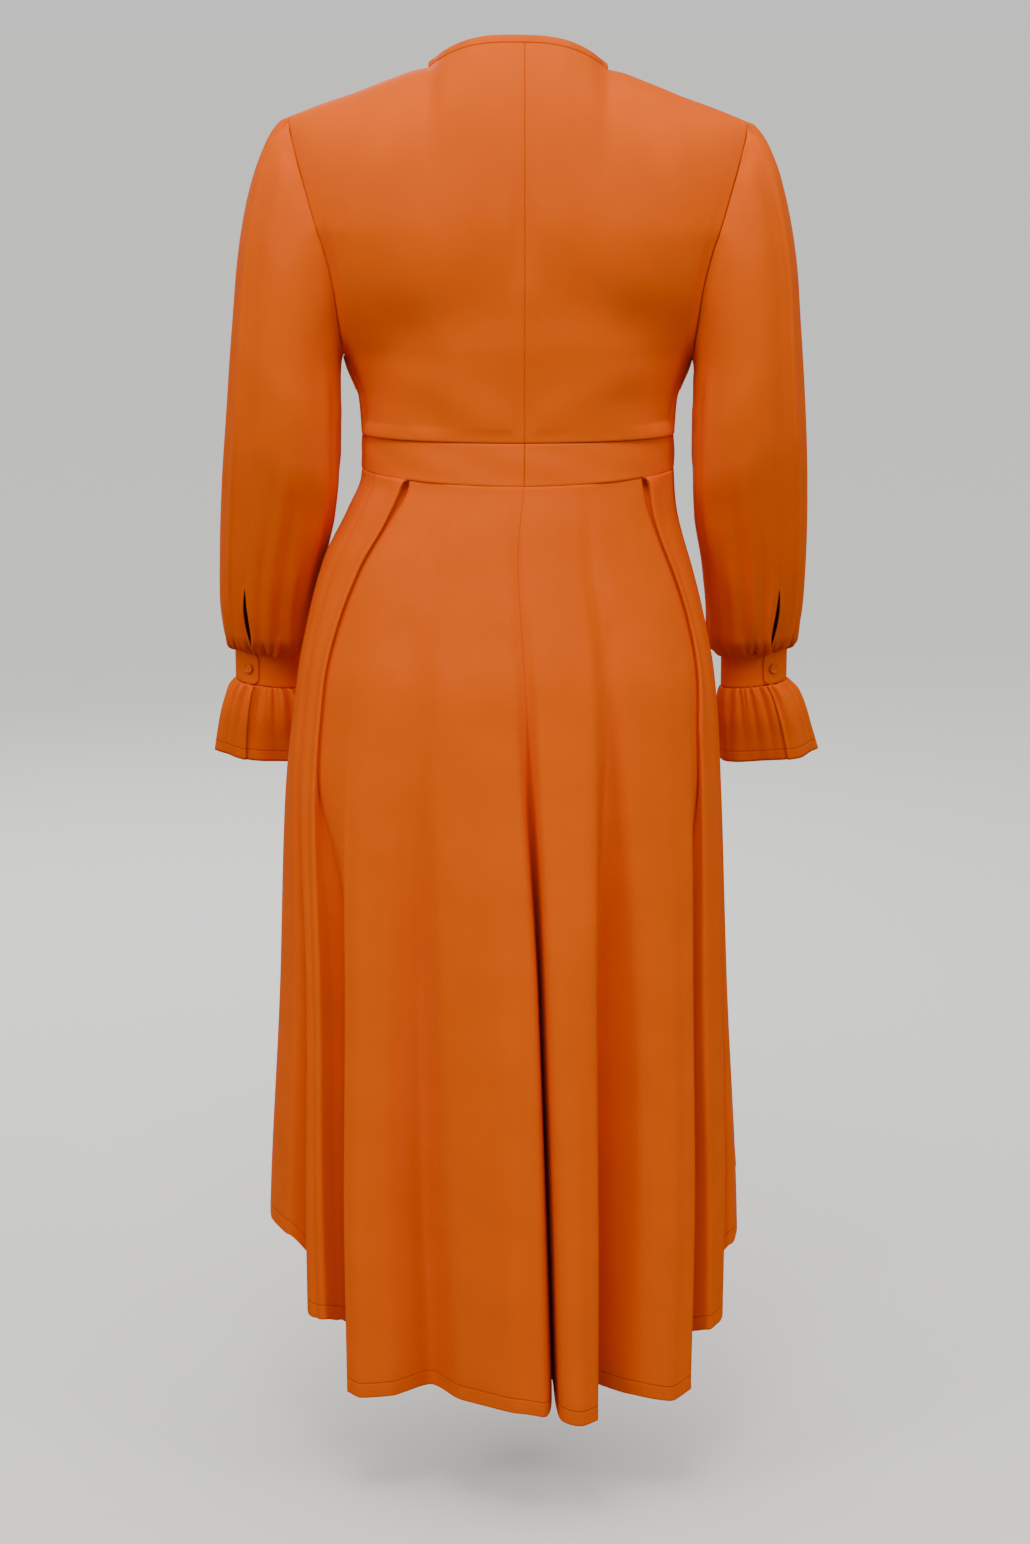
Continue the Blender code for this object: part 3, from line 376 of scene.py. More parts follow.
def fold_nodes():
    """Points of the folds in order. A face point has its angle and stand-out at the four
    levels, and a valley its sink and sideways slip. A knife pleat's valley has a point more on
    each side. waist and hem are the point's angles at the two edges of the skirt, and bow its
    swing between them. side is 1 or -1 where the upper layer of a knife pleat comes before or
    after its valley. before and after are an inner point's steps to the nearest face points."""
    folds, nodes = all_folds(), []
    for k, fold in enumerate(folds):
        left, right = np.array(fold.left, float), np.array(fold.right, float)
        out, sink = np.array(fold.out, float), np.array(fold.sink, float)
        middle = (left + right) / 2
        crest = middle + fold.lean * 0.25 * (right - left)
        round_left, round_right = EDGE_STAND.get(
            fold.name, (0.62 - 0.22 * fold.lean, 0.62 + 0.28 * fold.lean))
        pleat = KNIFE_PLEATS.get(fold.name, 0)
        for angle, place, share, edge, side in (
                (left, left, round_left, "left", min(KNIFE_PLEATS.get(folds[k - 1].name, 0), 0)),
                (crest, middle, 1, "crest", 0), (right, right, round_right, "right", max(pleat, 0))):
            nodes.append(Node("face", angle, out * ([1] + [share] * 3), place[0], place[3],
                              PLEAT_BOW.get((fold.name, edge), 0.0), side))
        turn = -360.0 if k == len(folds) - 1 else 0.0
        following = np.array(folds[(k + 1) % len(folds)].left, float) + turn
        middle = (right + following) / 2
        slip = np.array(VALLEY_TUCK.get(fold.name, (0, 0, 0, 0)), float)
        inner = (("valley", middle, 1, 1),)
        if pleat:
            inner = (("before", (2 * right + middle) / 3, 1, 3), ("valley", middle, 2, 2),
                     ("after", (2 * following + middle) / 3, 3, 1))
        nodes += [Node(kind, sink, slip, place[0], place[3], 0.0, pleat, before, after)
                  for kind, place, before, after in inner]
    return nodes


def level(values, drop):
    """A value that is given at the four levels, read at given heights."""
    return smooth(FOLD_DROPS, values, drop)


def face_place(node, drop):
    """Plan position of a face point at given heights. Its bow is how many degrees it swings
    aside between the waist and the hip."""
    share = np.clip((drop - PLEAT_TOP) / (PLEAT_CLOSED - PLEAT_TOP), 0, 1)
    angle = level(node.first, drop) + node.bow * np.sin(math.pi * share)
    return body_point(angle, level(node.second, drop), drop)[..., :2]


def mouth_at(drop):
    """How far a knife pleat gapes under the waistband: 0 at its seam, then 1, then 0 again."""
    below = np.maximum(drop - PLEAT_TOP, 0) / PLEAT_MOUTH
    return below * np.exp(1 - below)


def node_place(nodes, index, drop):
    """Plan position of a fold's point at given heights. A valley lies behind the middle of the
    gap between the edges on its two sides, so that a narrow valley keeps its walls apart. A
    knife pleat's three inner points lie under its edge and open into a valley lower down."""
    node = nodes[index]
    side, mouth = node.side, mouth_at(drop)
    if node.kind == "face":
        place = face_place(node, drop)
        if side:
            normal, tangent = body_axes(level(node.first, drop), drop)
            place = place + (normal * PLEAT_LIFT + tangent * side * PLEAT_PULL) * mouth[..., None]
        return place
    before, after = nodes[index - node.before], nodes[(index + node.after) % len(nodes)]
    turn = -360.0 if index + node.after >= len(nodes) else 0.0
    edges = [face_place(before, drop), face_place(after, drop)]
    normal, tangent = body_axes(
        (level(before.first, drop) + level(after.first, drop) + turn) / 2, drop)
    stand = (level(before.second, drop) + level(after.second, drop)) / 2
    valley = ((edges[0] + edges[1]) / 2 - normal * (stand + level(node.first, drop))[..., None]
              + tangent * level(node.second, drop)[..., None])
    if not side:
        return valley
    edge, other = edges if side > 0 else edges[::-1]
    t = np.clip((drop - PLEAT_CLOSED) / (PLEAT_OPEN - PLEAT_CLOSED), 0, 1)
    is_open = (t * t * (3 - 2 * t))[..., None]
    # How far past the edge and under it the point lies in the shut pleat, and where in the open.
    if node.kind == "valley":
        across, down, opened = PLEAT_DEEP, PLEAT_STEP - 0.35, valley
    elif (node.kind == "before") == (side > 0):
        across, down = 1.6 + PLEAT_PULL * mouth, PLEAT_STEP - 0.6
        opened = edge * 0.6 + valley * 0.4 + tangent * 3.0 * side
    else:
        across, down = 2.0, PLEAT_STEP + 7.0 * mouth
        opened = other * 0.45 + valley * 0.55
    closed = (edge + tangent * side * (across + 0 * drop)[..., None]
              - normal * (down + 0 * drop)[..., None])
    return closed * (1 - is_open) + opened * is_open


def node_index(name, part):
    """Place of a fold's left edge (0), crest (1), right edge (2) or valley (3)."""
    place = 0
    for fold in all_folds():
        if fold.name == name:
            return place + part + (1 if part == 3 and name in KNIFE_PLEATS else 0)
        place += 6 if fold.name in KNIFE_PLEATS else 4
    raise ValueError("no fold is called " + name)


def skirt_points(places, rows):
    """Grid of skirt points: rows from waist seam to hem, columns at places between nodes."""
    nodes = fold_nodes()
    count = len(nodes)
    hem_angle = np.array([node.hem for node in nodes])
    waist_angle = np.array([node.waist for node in nodes])
    folded = np.abs((hem_angle + 180) % 360 - 180)
    is_left = (hem_angle + 180) % 360 - 180 > 0
    rise = np.where(is_left, column(HEM_RISE, "left", folded, "angle"),
                    column(HEM_RISE, "right", folded, "angle"))
    top = waist_drop(waist_angle, WAIST_LOW_BACK, WAIST_LOW_SIDE) + SEAM
    first = np.floor(places).astype(int)
    part = places - first

    def blend(values):
        """Smooth mix of a per-node value at each place."""
        here, following = values[first % count], values[(first + 1) % count]
        return here + (following - here) * part * part * (3 - 2 * part)

    drops = blend(top) + (blend(HEM_DROP - rise) - blend(top)) * np.array(rows)[:, None]

    def node_xy(index):
        """Position across and in depth of one node for every row of its columns."""
        place = np.empty(drops.shape + (2,))
        for node in set(index % count):
            chosen = np.nonzero(index % count == node)[0]
            place[:, chosen] = node_place(nodes, node, drops[:, chosen])
        return place

    p0, p1, p2, p3 = (node_xy(first + k) for k in (-1, 0, 1, 2))

    def chord(a, b):
        """Square root of the distance between two nodes."""
        return np.sqrt(np.linalg.norm(b - a, axis=-1))[..., None] + 1e-6

    d0, d1, d2 = chord(p0, p1), chord(p1, p2), chord(p2, p3)
    m1 = FOLD_ROUNDNESS * d1 * ((p1 - p0) / d0 - (p2 - p0) / (d0 + d1) + (p2 - p1) / d1)
    m2 = FOLD_ROUNDNESS * d1 * ((p2 - p1) / d1 - (p3 - p1) / (d1 + d2) + (p3 - p2) / d2)
    t = part[None, :, None]
    xy = (p1 * (2 * t**3 - 3 * t**2 + 1) + p2 * (3 * t**2 - 2 * t**3)
          + m1 * (t**3 - 2 * t**2 + t) + m2 * (t**3 - t**2))
    points = np.concatenate([xy, -drops[..., None]], axis=-1)
    swell = np.zeros(drops.shape)
    for line in DRAPES:
        centre = node_index(line.fold, 0) + line.part
        aside = (places - centre + count / 2) % count - count / 2
        along = np.clip((drops - line.drop1) / (line.drop2 - line.drop1), 0, 1)
        fade = np.sin(math.pi / 2 * np.clip(along * 2.2, 0, 1)) * (along > 0)
        swell += line.height * fade * np.exp(-(aside / line.width) ** 2)
    return points + grid_normals(points) * (facing_out(points, SKIRT_INSIDE) * swell)[..., None]


# ---------------------------------------------------------------- bodice
def neck_height(x, front):
    """Height of the neckline at a place across."""
    ratio = np.clip(np.abs(x) / NECK_HALF, 0, 1)
    if front:
        return -NECK_DEPTH + (NECK_DEPTH + NECK_SIDE) * ratio ** 1.35
    return NECK_RISE + (NECK_SIDE - NECK_RISE) * ratio ** 2.9


def bodice_points(side, front, across, up):
    """Grid of one bodice half, waist to shoulder, middle to side; side is +1 on the left.
    Half of the columns end on the neckline and half on the shoulder."""
    across, up = across[None, :], up[:, None]
    up = 0.55 * up + 0.45 * np.sin(up * math.pi / 2)
    middle = 0.0 if front else CENTRE_BACK + side * SEAM / 2
    edge_z = -WAIST_TOP_SIDE + (WAIST_TOP_SIDE - ARMHOLE_TOP) * up
    edge_x = side * column(SIDE_EDGE, "front_x" if front else "back_x", -edge_z)
    low_share = 0.2 * across + 0.8 * np.sin(across * math.pi / 2)
    on_neck = np.sin(np.clip(2 * across, 0, 1) * math.pi / 2)
    on_shoulder = np.clip(2 * across - 1, 0, 1)
    neck_x = middle + (side * NECK_HALF - middle) * on_neck
    high_x = neck_x + (edge_x - side * NECK_HALF) * on_shoulder
    x = (1 - up) * (middle + (edge_x - middle) * low_share) + up * high_x
    low_x = x[:1] / WAIST_HALF
    waist = -(WAIST_TOP_SIDE + (WAIST_TOP_BACK - WAIST_TOP_SIDE) * (1 - low_x ** 2)) + RIDGE_GAP / 2
    ridge = column(SHOULDER, "height", np.abs(x[-1:]), "side")
    top = np.where(across < 0.5 + 1e-9, neck_height(x[-1:], front), ridge)
    z = waist + (top - waist) * up
    y = torso_y(x, z, front)
    y = np.minimum(y, -RIDGE_GAP) if front else np.maximum(y, RIDGE_GAP)
    return np.stack([x + MIDDLE, y, z + TILT * x * up], axis=-1)


def crease_height(x, drop, creases):
    """How far the cloth stands out at a place, from a table of creases with tapered ends."""
    total = np.zeros(np.broadcast(x, drop).shape)
    for c in creases:
        dx, dz = c.x2 - c.x1, c.drop2 - c.drop1
        length = dx * dx + dz * dz
        along = ((x - c.x1) * dx + (drop - c.drop1) * dz) / length
        aside = np.abs((x - c.x1) * dz - (drop - c.drop1) * dx) / math.sqrt(length)
        past = np.maximum(np.maximum(-along, along - 1), 0) * math.sqrt(length)
        total += c.depth * np.exp(-(aside / c.width) ** 2 - (past / (1.6 * c.width)) ** 2)
    return total


def binding_points(across, count):
    """Grid of the neck binding. Its lower edge follows the edges of the bodice panels, from
    the left shoulder round the back, and it carries on in their surface."""
    half = len(across) // 2 + 1
    up = np.linspace(0, 1, 11)
    panels = [(bodice_points(side, front, across, up)[-2:, :half], flip)
              for side, front, flip in ((1, False, True), (-1, False, False),
                                        (-1, True, True), (1, True, False))]
    edges = [points[:, ::-1] if flip else points for points, flip in panels]
    edges = [edges[0], edges[1][:, 1:-1], edges[2], edges[3][:, 1:-1]]
    ring = np.concatenate(edges, axis=1)
    ring = np.concatenate([ring, ring[:, :1]], axis=1)
    length = lengths(ring[1:], 1)[0]
    even = np.linspace(0, length[-1], BINDING_STEPS + 1)[:-1]
    under, low = (np.stack([np.interp(even, length, row[:, k]) for k in range(3)], axis=-1)
                  for row in ring)
    rise = unit(low - under)
    along = unit(np.roll(low, -1, axis=0) - np.roll(low, 1, axis=0))
    for _ in range(BINDING_EASING):
        rise = unit(np.roll(rise, 1, axis=0) + 2 * rise + np.roll(rise, -1, axis=0))
        along = unit(np.roll(along, 1, axis=0) + 2 * along + np.roll(along, -1, axis=0))
    normal = unit(np.cross(along, rise))
    rise = unit(np.cross(normal, along))
    aside = NECK_HALF - np.abs(low[:, :1] - MIDDLE)
    shoulder = np.exp(-(low[:, 1:2] / 24) ** 2 - (aside / 14) ** 2)
    height = BINDING_HEIGHT * (1 - 0.25 * shoulder)     # it lies over flat at the shoulders
    up = np.linspace(0, 1, count + 1)[:, None, None]
    swell = 0.45 + 0.45 * np.sin(math.pi * up) ** 0.5
    return low + rise * (BINDING_GAP + height * up) + normal * swell


# ---------------------------------------------------------------- sleeves, cuffs and ruffles
def armhole_loop(theta):
    """The armhole at an angle from its top, round by the back, as x, y and z."""
    middle, half = (ARMHOLE_TOP + ARMHOLE_LOW) / 2, (ARMHOLE_LOW - ARMHOLE_TOP) / 2
    drop = middle - half * np.cos(theta)
    back_x, front_x = column(SIDE_EDGE, "back_x", drop), column(SIDE_EDGE, "front_x", drop)
    is_back = np.sin(theta) >= 0
    x = np.where(is_back, back_x, front_x)
    y = np.where(is_back, torso_y(x, -drop, False), torso_y(x, -drop, True))
    return np.stack([x, y, -drop], axis=-1)


def uneven_gathers(degrees, count, seed):
    """Height from -1 to 1 of gathers round an edge, unevenly spaced and unevenly full."""
    turn = np.radians(degrees)
    drift = 1.1 * np.sin(turn * 2 + seed) + 0.7 * np.sin(turn * 3 + 1.7 * seed)
    wave = 2 * np.abs(np.cos((count * turn + drift) / 2)) - 1
    fullness = 0.7 + 0.3 * np.sin(turn * 5 + 2.3 * seed)
    return wave * fullness


def sleeve_points(side, stations, columns, gather_height, cap_height):
    """Grid of one sleeve, armhole to cuff, from one side of the slit round to the other."""
    s = stations[:, None]
    number = np.arange(len(SLEEVE))

    def at(name):
        """A column of the sleeve table at every station."""
        return smooth(number, [getattr(row, name) for row in SLEEVE], s)

    last = len(SLEEVE) - 1
    lower = np.clip((s - SLIT_START) / (last - SLIT_START), 0, 1)
    slit = SLIT_TOP_ANGLE + (CUFF_END - SLIT_TOP_ANGLE) * lower
    theta = np.radians(slit + 360.0 * spread(columns, True, True, 0.6)[None, :])
    degrees = np.degrees(theta) % 360

    def ring(out_drop, out_x, in_drop, in_x, depth):
        """Points round the sleeve between an outer and an inner edge."""
        return np.stack([(out_x + in_x) / 2 + (out_x - in_x) / 2 * np.cos(theta),
                         depth * np.sin(theta),
                         -(out_drop + in_drop) / 2 + (in_drop - out_drop) / 2 * np.cos(theta)],
                        axis=-1)

    # Gathers grow over the last stations above the cuff, and the cap's pleats fade below it.
    near_cuff = np.clip((s - 8.2) / 3.8, 0, 1) ** 1.6
    near_cap = np.clip(1 - s / 5.0, 0, 1) ** 1.4
    short = 0.8 * np.clip((s - 9.8) / 1.4, 0, 1)
    gather = (gather_height * near_cuff * (1 - 0.6 * np.clip(s - 11, 0, 1))
              * (0.75 * uneven_gathers(degrees, SLEEVE_GATHERS, 1.0 + side)
                 + short * uneven_gathers(degrees, SHORT_GATHERS, 4.0 + side)))
    cap = np.clip(np.cos(theta), 0, 1) ** 3
    pleats = cap_height * near_cap * np.clip(s / 0.35, 0, 1) * cap * np.cos(CAP_WAVES * theta)
    swell = gather + pleats
    for line in SLEEVE_LINES:
        share = np.clip((s - line.start) / (line.end - line.start), 0, 1)
        angle = line.angle1 + (line.angle2 - line.angle1) * share
        aside = (degrees - angle + 180) % 360 - 180
        ends = np.clip(6 * share, 0, 1) * np.clip(3 * (1 - share), 0, 1)
        width = line.width * np.where(aside > 0, line.crisp, 1.0)
        swell = swell + line.height * ends * np.exp(-(aside / width) ** 2)
    points = ring(at("out_drop"), at("out_x"), at("in_drop"), at("in_x"), at("half_depth"))
    points[..., 0] -= at("right_in") if side < 0 else 0.0
    points[..., 1] += at("y")
    fade = (np.clip(1 - s / 3, 0, 1) ** 2)[..., None]
    points += (armhole_loop(theta) - ring(*SLEEVE[0][:5])) * fade
    points[..., 0] += ARMHOLE_EASE * fade[..., 0]
    points[..., 2] -= SEAM * fade[..., 0]
    out = grid_normals(points) * facing_out(points, SLEEVE_INSIDE)
    points += out * swell[..., None]
    opening = SLIT_GAP / 2 * np.sin(math.pi * np.minimum(lower / SLIT_SHUT, 1) ** 0.8) ** 0.8
    for sign, edge in ((1, theta[:, :1]), (-1, theta[:, -1:])):
        away = np.abs(theta - edge) * at("half_depth")
        near = np.exp(-(away / 14) ** 2)
        rim = SLIT_RIM * np.clip(lower * 8, 0, 1) * np.clip(SLIT_BAND - away, 0, 1)
        points[..., 0] += rim * np.cos(theta) - sign * opening * near * np.sin(theta)
        points[..., 1] += rim * np.sin(theta) + sign * opening * near * np.cos(theta)
    points[..., 0] *= side
    points[..., 0] += MIDDLE
    points[..., 2] += TILT * points[..., 0] * np.clip(1 - s / 6, 0, 1)
    return points


def tucked_in_cuff(side, points):
    """The sleeve's grid with a few more rows, which turn down inside the top of its cuff."""
    ring, rings = points[-1], cuff_rings(side)
    centre = np.array([MIDDLE + side * rings[0].x, CUFF_Y])
    aside = unit((ring[:, :2] - centre) / (CUFF_HALF_X, CUFF_HALF_Y))
    inner = centre + aside * (CUFF_HALF_X - CUFF_INSET, CUFF_HALF_Y - CUFF_INSET)
    rows = [points]
    for share, down in CUFF_TUCK:
        row = ring.copy()
        row[:, :2] += (inner - ring[:, :2]) * share
        row[:, 2] -= down
        rows.append(row[None])
    return np.concatenate(rows)


def wrap_points(side, rings, turn, rows, lap, lift, end=CUFF_END, gathers=0, flares=0):
    """Grid of a cuff or ruffle: a strip once round the wrist and on under its own end."""
    turn = turn[None, :]
    theta = np.radians(end - turn)
    number = np.arange(len(rings))
    s = rows[:, None] * (len(rings) - 1)

    def at(name):
        """A column of the ring table at every row."""
        values = [getattr(row, name) for row in rings]
        return smooth(number, values, s) if len(rings) > 2 else np.interp(s, number, values)

    over = np.where(turn <= lap, lift, lift * (1 - np.clip((turn - lap) / 60.0, 0, 1)) ** 2)
    short = 0.6 * np.exp(-0.9 * s)
    swell = (over + at("gather") * (uneven_gathers(turn, gathers, 2.0 + side)
                                    + short * uneven_gathers(turn, 2 * gathers + 4, 5.0))
             + at("flare") * np.cos(flares * np.radians(turn) + 0.6 * side))
    x = at("x") + (at("half_x") + swell) * np.cos(theta)
    y = at("y") + (at("half_y") + swell) * np.sin(theta)
    z = -at("drop") + CUFF_TILT * np.cos(theta)
    points = np.stack([x + 0 * z, y + 0 * z, z], axis=-1)
    points[..., 0] *= side
    points[..., 0] += MIDDLE
    return points


def cuff_rings(side):
    """The two edges of a cuff."""
    x = (SLEEVE[-1].out_x + SLEEVE[-1].in_x) / 2 - (SLEEVE[-1].right_in if side < 0 else 0)
    return [Ring(drop, x, CUFF_HALF_X, CUFF_Y, CUFF_HALF_Y, 0.0, 0.0)
            for drop in (CUFF_TOP, CUFF_LOW)]


def ruffle_rings(side):
    """The ruffle's rings, moved to the wearer's right cuff where needed."""
    if side > 0:
        return list(RUFFLE)
    last = len(RUFFLE) - 1
    return [ring._replace(x=ring.x - SLEEVE[-1].right_in + RUFFLE_RIGHT_OUT * k / last)
            for k, ring in enumerate(RUFFLE)]


# ---------------------------------------------------------------- materials
def set_inputs(tree, node, inputs):
    """Set a node's inputs, by name or number, to values, nodes or (node, output) pairs."""
    for name, value in inputs.items():
        socket = node.inputs[int(name[1:]) if name[1:].isdigit() else name.replace("_", " ")]
        source = value if isinstance(value, tuple) else (value, 0)
        if hasattr(source[0], "outputs"):
            tree.links.new(source[0].outputs[source[1]], socket)
        else:
            socket.default_value = value


def add_node(tree, kind, settings=None, **inputs):
    """Add a shader node with its settings and inputs."""
    node = tree.nodes.new("ShaderNode" + kind)
    for name, value in (settings or {}).items():
        setattr(node, name, value)
    set_inputs(tree, node, inputs)
    return node


def maths(tree, operation, *values):
    """The result of a sum with up to three values."""
    return add_node(tree, "Math", {"operation": operation},
                    **{"_%d" % k: value for k, value in enumerate(values)})


def remap(tree, value, low, high, to_low, to_high, kind="LINEAR"):
    """A value carried from one range to another."""
    return add_node(tree, "MapRange", {"interpolation_type": kind}, Value=value, From_Min=low,
                    From_Max=high, To_Min=to_low, To_Max=to_high)


def tinted(tree, colour, share):
    """A colour multiplied by a value."""
    mix = add_node(tree, "Mix", {"data_type": "RGBA", "blend_type": "MULTIPLY"}, _0=1.0,
                   _6=colour, _7=share)
    return mix, 2


def grain(tree, place, size, detail, **inputs):
    """Noise with marks of a size in mm, at a place in metres."""
    return add_node(tree, "TexNoise", Vector=place, Scale=1000 / size, Detail=detail, **inputs)


def new_material(name, colour, roughness):
    """A named material with its shader, ready for nodes."""
    material = bpy.data.materials.new(name)
    material.use_nodes = True
    material.diffuse_color = colour
    tree = material.node_tree
    shader = tree.nodes["Principled BSDF"]
    set_inputs(tree, shader, {"Base Color": tuple(colour), "Roughness": roughness})
    return material, tree, shader


def crepe_material(name, cloth, hem_at):
    """Piece-dyed polyester double-knit crepe: a smooth, matte face with a fine pebbled grain, a
    soft glow where a fold turns away, and a line of stitches where the hem is turned up, sunk in
    and darkened there with painted shade."""
    material, tree, shader = new_material(name, cloth.colour, 0.7)
    uv = add_node(tree, "UVMap", {"uv_map": "cloth"})
    # The grain of real crepe is about 0.5 mm. It is drawn at 1.6 mm, so that it shows.
    pebble = grain(tree, uv, 1.6, 3.0, Roughness=0.6)
    wales = add_node(tree, "TexWave", {"wave_type": "BANDS", "bands_direction": "X"}, Vector=uv,
                     Scale=1000 / 2.4 / 6.283, Distortion=1.5, Detail=1.0)    # 4.7 mm apart
    tone = remap(tree, grain(tree, uv, 60, 2.0), 0.3, 0.7, 0.965, 1.035)
    grain_tone = remap(tree, pebble, 0.3, 0.7, 0.97, 1.03)
    colour = tinted(tree, tuple(cloth.colour), maths(tree, "MULTIPLY", tone, grain_tone))
    height = maths(tree, "MULTIPLY_ADD", (wales, 1), 0.25, pebble)
    if hem_at:      # a row of stitches darkened by painted shade, and the edge of the second layer beside it
        up = (add_node(tree, "SeparateXYZ", Vector=uv), 1)
        away = maths(tree, "SUBTRACT", up, hem_at)
        near = maths(tree, "ABSOLUTE", away)
        stitch_groove_and_shade = remap(tree, near, 0.0003, 0.0013, 1.0, 0.0, "SMOOTHSTEP")
        turned = remap(tree, away, -0.0012, 0.0004, 1.2, 0.0, "SMOOTHSTEP")
        deeper = maths(tree, "MULTIPLY_ADD", stitch_groove_and_shade, -3.5, height)
        height = maths(tree, "ADD", deeper, turned)
        # The stitch line's colour is darkened by 22%: painted shade in its groove.
        colour = tinted(tree, colour, maths(tree, "MULTIPLY_ADD", stitch_groove_and_shade, -0.22, 1.0))
    # Puckers that fade out 9 mm from a seam.
    seam = add_node(tree, "Attribute", {"attribute_name": "seam_mm"})
    close = remap(tree, (seam, 2), 0.0, 9.0, 1.0, 0.0, "SMOOTHSTEP")
    pull = maths(tree, "MULTIPLY", close, grain(tree, uv, 9, 1.0))
    height = maths(tree, "MULTIPLY_ADD", pull, 5.0, height)
    bump = add_node(tree, "Bump", Strength=0.5, Distance=0.00016, Height=height)
    set_inputs(tree, shader, {
        "Base Color": colour, "Normal": bump, "Sheen Weight": 0.03, "Sheen Roughness": 0.45,
        "Sheen Tint": hex_linear("#FF7A12"), "Specular IOR Level": 0.06, "IOR": 1.5})
    return material


def button_material(cloth):
    """Polyester resin button dyed to match, moulded: a soft gloss with faint flow marks."""
    material, tree, shader = new_material("dyed_polyester_resin", cloth.button_colour, 0.42)
    place = add_node(tree, "TexCoord")
    flow = grain(tree, (place, "Object"), 3.0, 2.0)
    colour = tinted(tree, tuple(cloth.button_colour), remap(tree, flow, 0.3, 0.7, 0.9, 1.1))
    set_inputs(tree, shader, {"Base Color": colour, "IOR": 1.52, "Specular IOR Level": 0.25})
    return material


def floor_material(stage):
    """Matt white studio paper: pale, even and without gloss."""
    material, tree, shader = new_material("matt_studio_paper", stage.floor_colour, 0.9)
    place = add_node(tree, "TexCoord")
    fibre = grain(tree, (place, "Object"), 4.0, 2.0)
    bump = add_node(tree, "Bump", Strength=0.1, Distance=0.0001, Height=fibre)
    set_inputs(tree, shader, {"Normal": bump})
    return material


# ---------------------------------------------------------------- making cloth
def grid_normals(points):
    """Unit normals of a grid of points."""
    return unit(np.cross(np.gradient(points, axis=0), np.gradient(points, axis=1)))


def lengths(points, axis):
    """Distance along the rows or columns of a grid from its first edge."""
    step = np.linalg.norm(np.diff(points, axis=axis), axis=-1)
    start = np.zeros_like(np.take(step, [0], axis=axis))
    return np.concatenate([start, np.cumsum(step, axis=axis)], axis=axis)


def facing_out(points, inside):
    """+1 or -1, whichever turns the grid's normals away from the inside point."""
    away = points - np.array([inside[0], inside[1], 0.0])
    away[..., 2] = 0
    return 1.0 if np.sum(grid_normals(points) * away) > 0 else -1.0


def with_turnings(points, normals, sewn, values):
    """The grid with its seam turnings: a few rows beyond each sewn edge that bend inwards and
    reach a little past the seam. values are numbers at the points; new rows repeat their edge."""
    for edge in sewn:
        axis = 1 if edge in ("left", "right") else 0
        first = edge in ("left", "top")
        here, inner = (0, 1) if first else (-1, -2)
        border = np.take(points, [here], axis=axis)
        back = np.take(points, [inner], axis=axis) - border
        inwards = -np.take(normals, [here], axis=axis)
        past = unit(-back + inwards * np.sum(inwards * back, axis=-1)[..., None])
        rows = [border + inwards * row.depth + past * row.reach for row in TURNINGS]
        rows = np.concatenate(rows[::-1] if first else rows, axis=axis)

        def extended(grid, more):
            """A grid with more rows joined on at this edge."""
            return np.concatenate([more, grid] if first else [grid, more], axis=axis)

        def repeated(grid):
            """The edge of a grid, once for each new row."""
            return np.repeat(np.take(grid, [here], axis=axis), len(TURNINGS), axis=axis)

        normals = extended(normals, repeated(normals))
        values = [extended(grid, repeated(grid)) for grid in values]
        points = extended(points, rows)
    return points, values


def add_panel(name, points, inside, wall, material, sewn, seam_turn=0.45, normals=None):
    """Cloth panel from a grid in mm, whose wall grows inwards. sewn names the edges that are
    stitched to another piece: top, bottom, left or right of the grid. They turn in, by
    seam_turn at the seam and within about 1 mm of it."""
    across, down = lengths(points, 1), lengths(points, 0)
    edges = {"left": across, "right": across[:, -1:] - across,
             "top": down, "bottom": down[-1:] - down}
    sign = facing_out(points, inside)
    nearest = np.full(points.shape[:2], 99.0)
    inward = np.zeros(points.shape[:2])
    for edge in sewn:
        nearest = np.minimum(nearest, edges[edge])
        inward = np.maximum(inward, np.exp(-edges[edge] ** 2))
    normals = (grid_normals(points) if normals is None else normals) * sign
    points = points - normals * (seam_turn * inward)[..., None]
    points, (across, nearest, up) = with_turnings(points, normals, sewn,
                                                  (across, nearest, edges["bottom"]))
    rows, columns = points.shape[:2]
    index = np.arange(rows * columns).reshape(rows, columns)
    quads = np.stack([index[:-1, :-1], index[:-1, 1:], index[1:, 1:], index[1:, :-1]], axis=-1)
    quads = quads.reshape(-1, 4)
    # grid_normals is rows x columns, which is the opposite way round from these corners
    if sign > 0:
        quads = quads[:, ::-1]
    mesh = bpy.data.meshes.new(name)
    mesh.vertices.add(rows * columns)
    mesh.vertices.foreach_set("co", (points.reshape(-1, 3) * MM).ravel())
    mesh.loops.add(quads.size)
    mesh.polygons.add(len(quads))
    mesh.polygons.foreach_set("loop_start", np.arange(0, quads.size, 4))
    mesh.loops.foreach_set("vertex_index", quads.ravel())
    mesh.update(calc_edges=True)
    layout = mesh.uv_layers.new(name="cloth")
    u = np.broadcast_to(across.mean(axis=0)[None, :], across.shape)
    flat = np.stack([u, up], axis=-1).reshape(-1, 2) * MM
    layout.data.foreach_set("uv", flat[quads.ravel()].ravel())
    seam = mesh.attributes.new("seam_mm", "FLOAT", "POINT")
    seam.data.foreach_set("value", nearest.ravel())
    mesh.materials.append(material)
    mesh.validate()
    mesh.shade_smooth()
    made = bpy.data.objects.new(name, mesh)
    bpy.context.scene.collection.objects.link(made)
    solid = made.modifiers.new("cloth thickness", "SOLIDIFY")
    solid.thickness = wall
    solid.offset = -1.0
    solid.use_quality_normals = True
    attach(made, "root")
    return made


def close_ring(made):
    """Join the first and last column of a ring where they meet."""
    shape = bmesh.new()
    shape.from_mesh(made.data)
    bmesh.ops.remove_doubles(shape, verts=shape.verts, dist=0.00001)
    shape.to_mesh(made.data)
    shape.free()


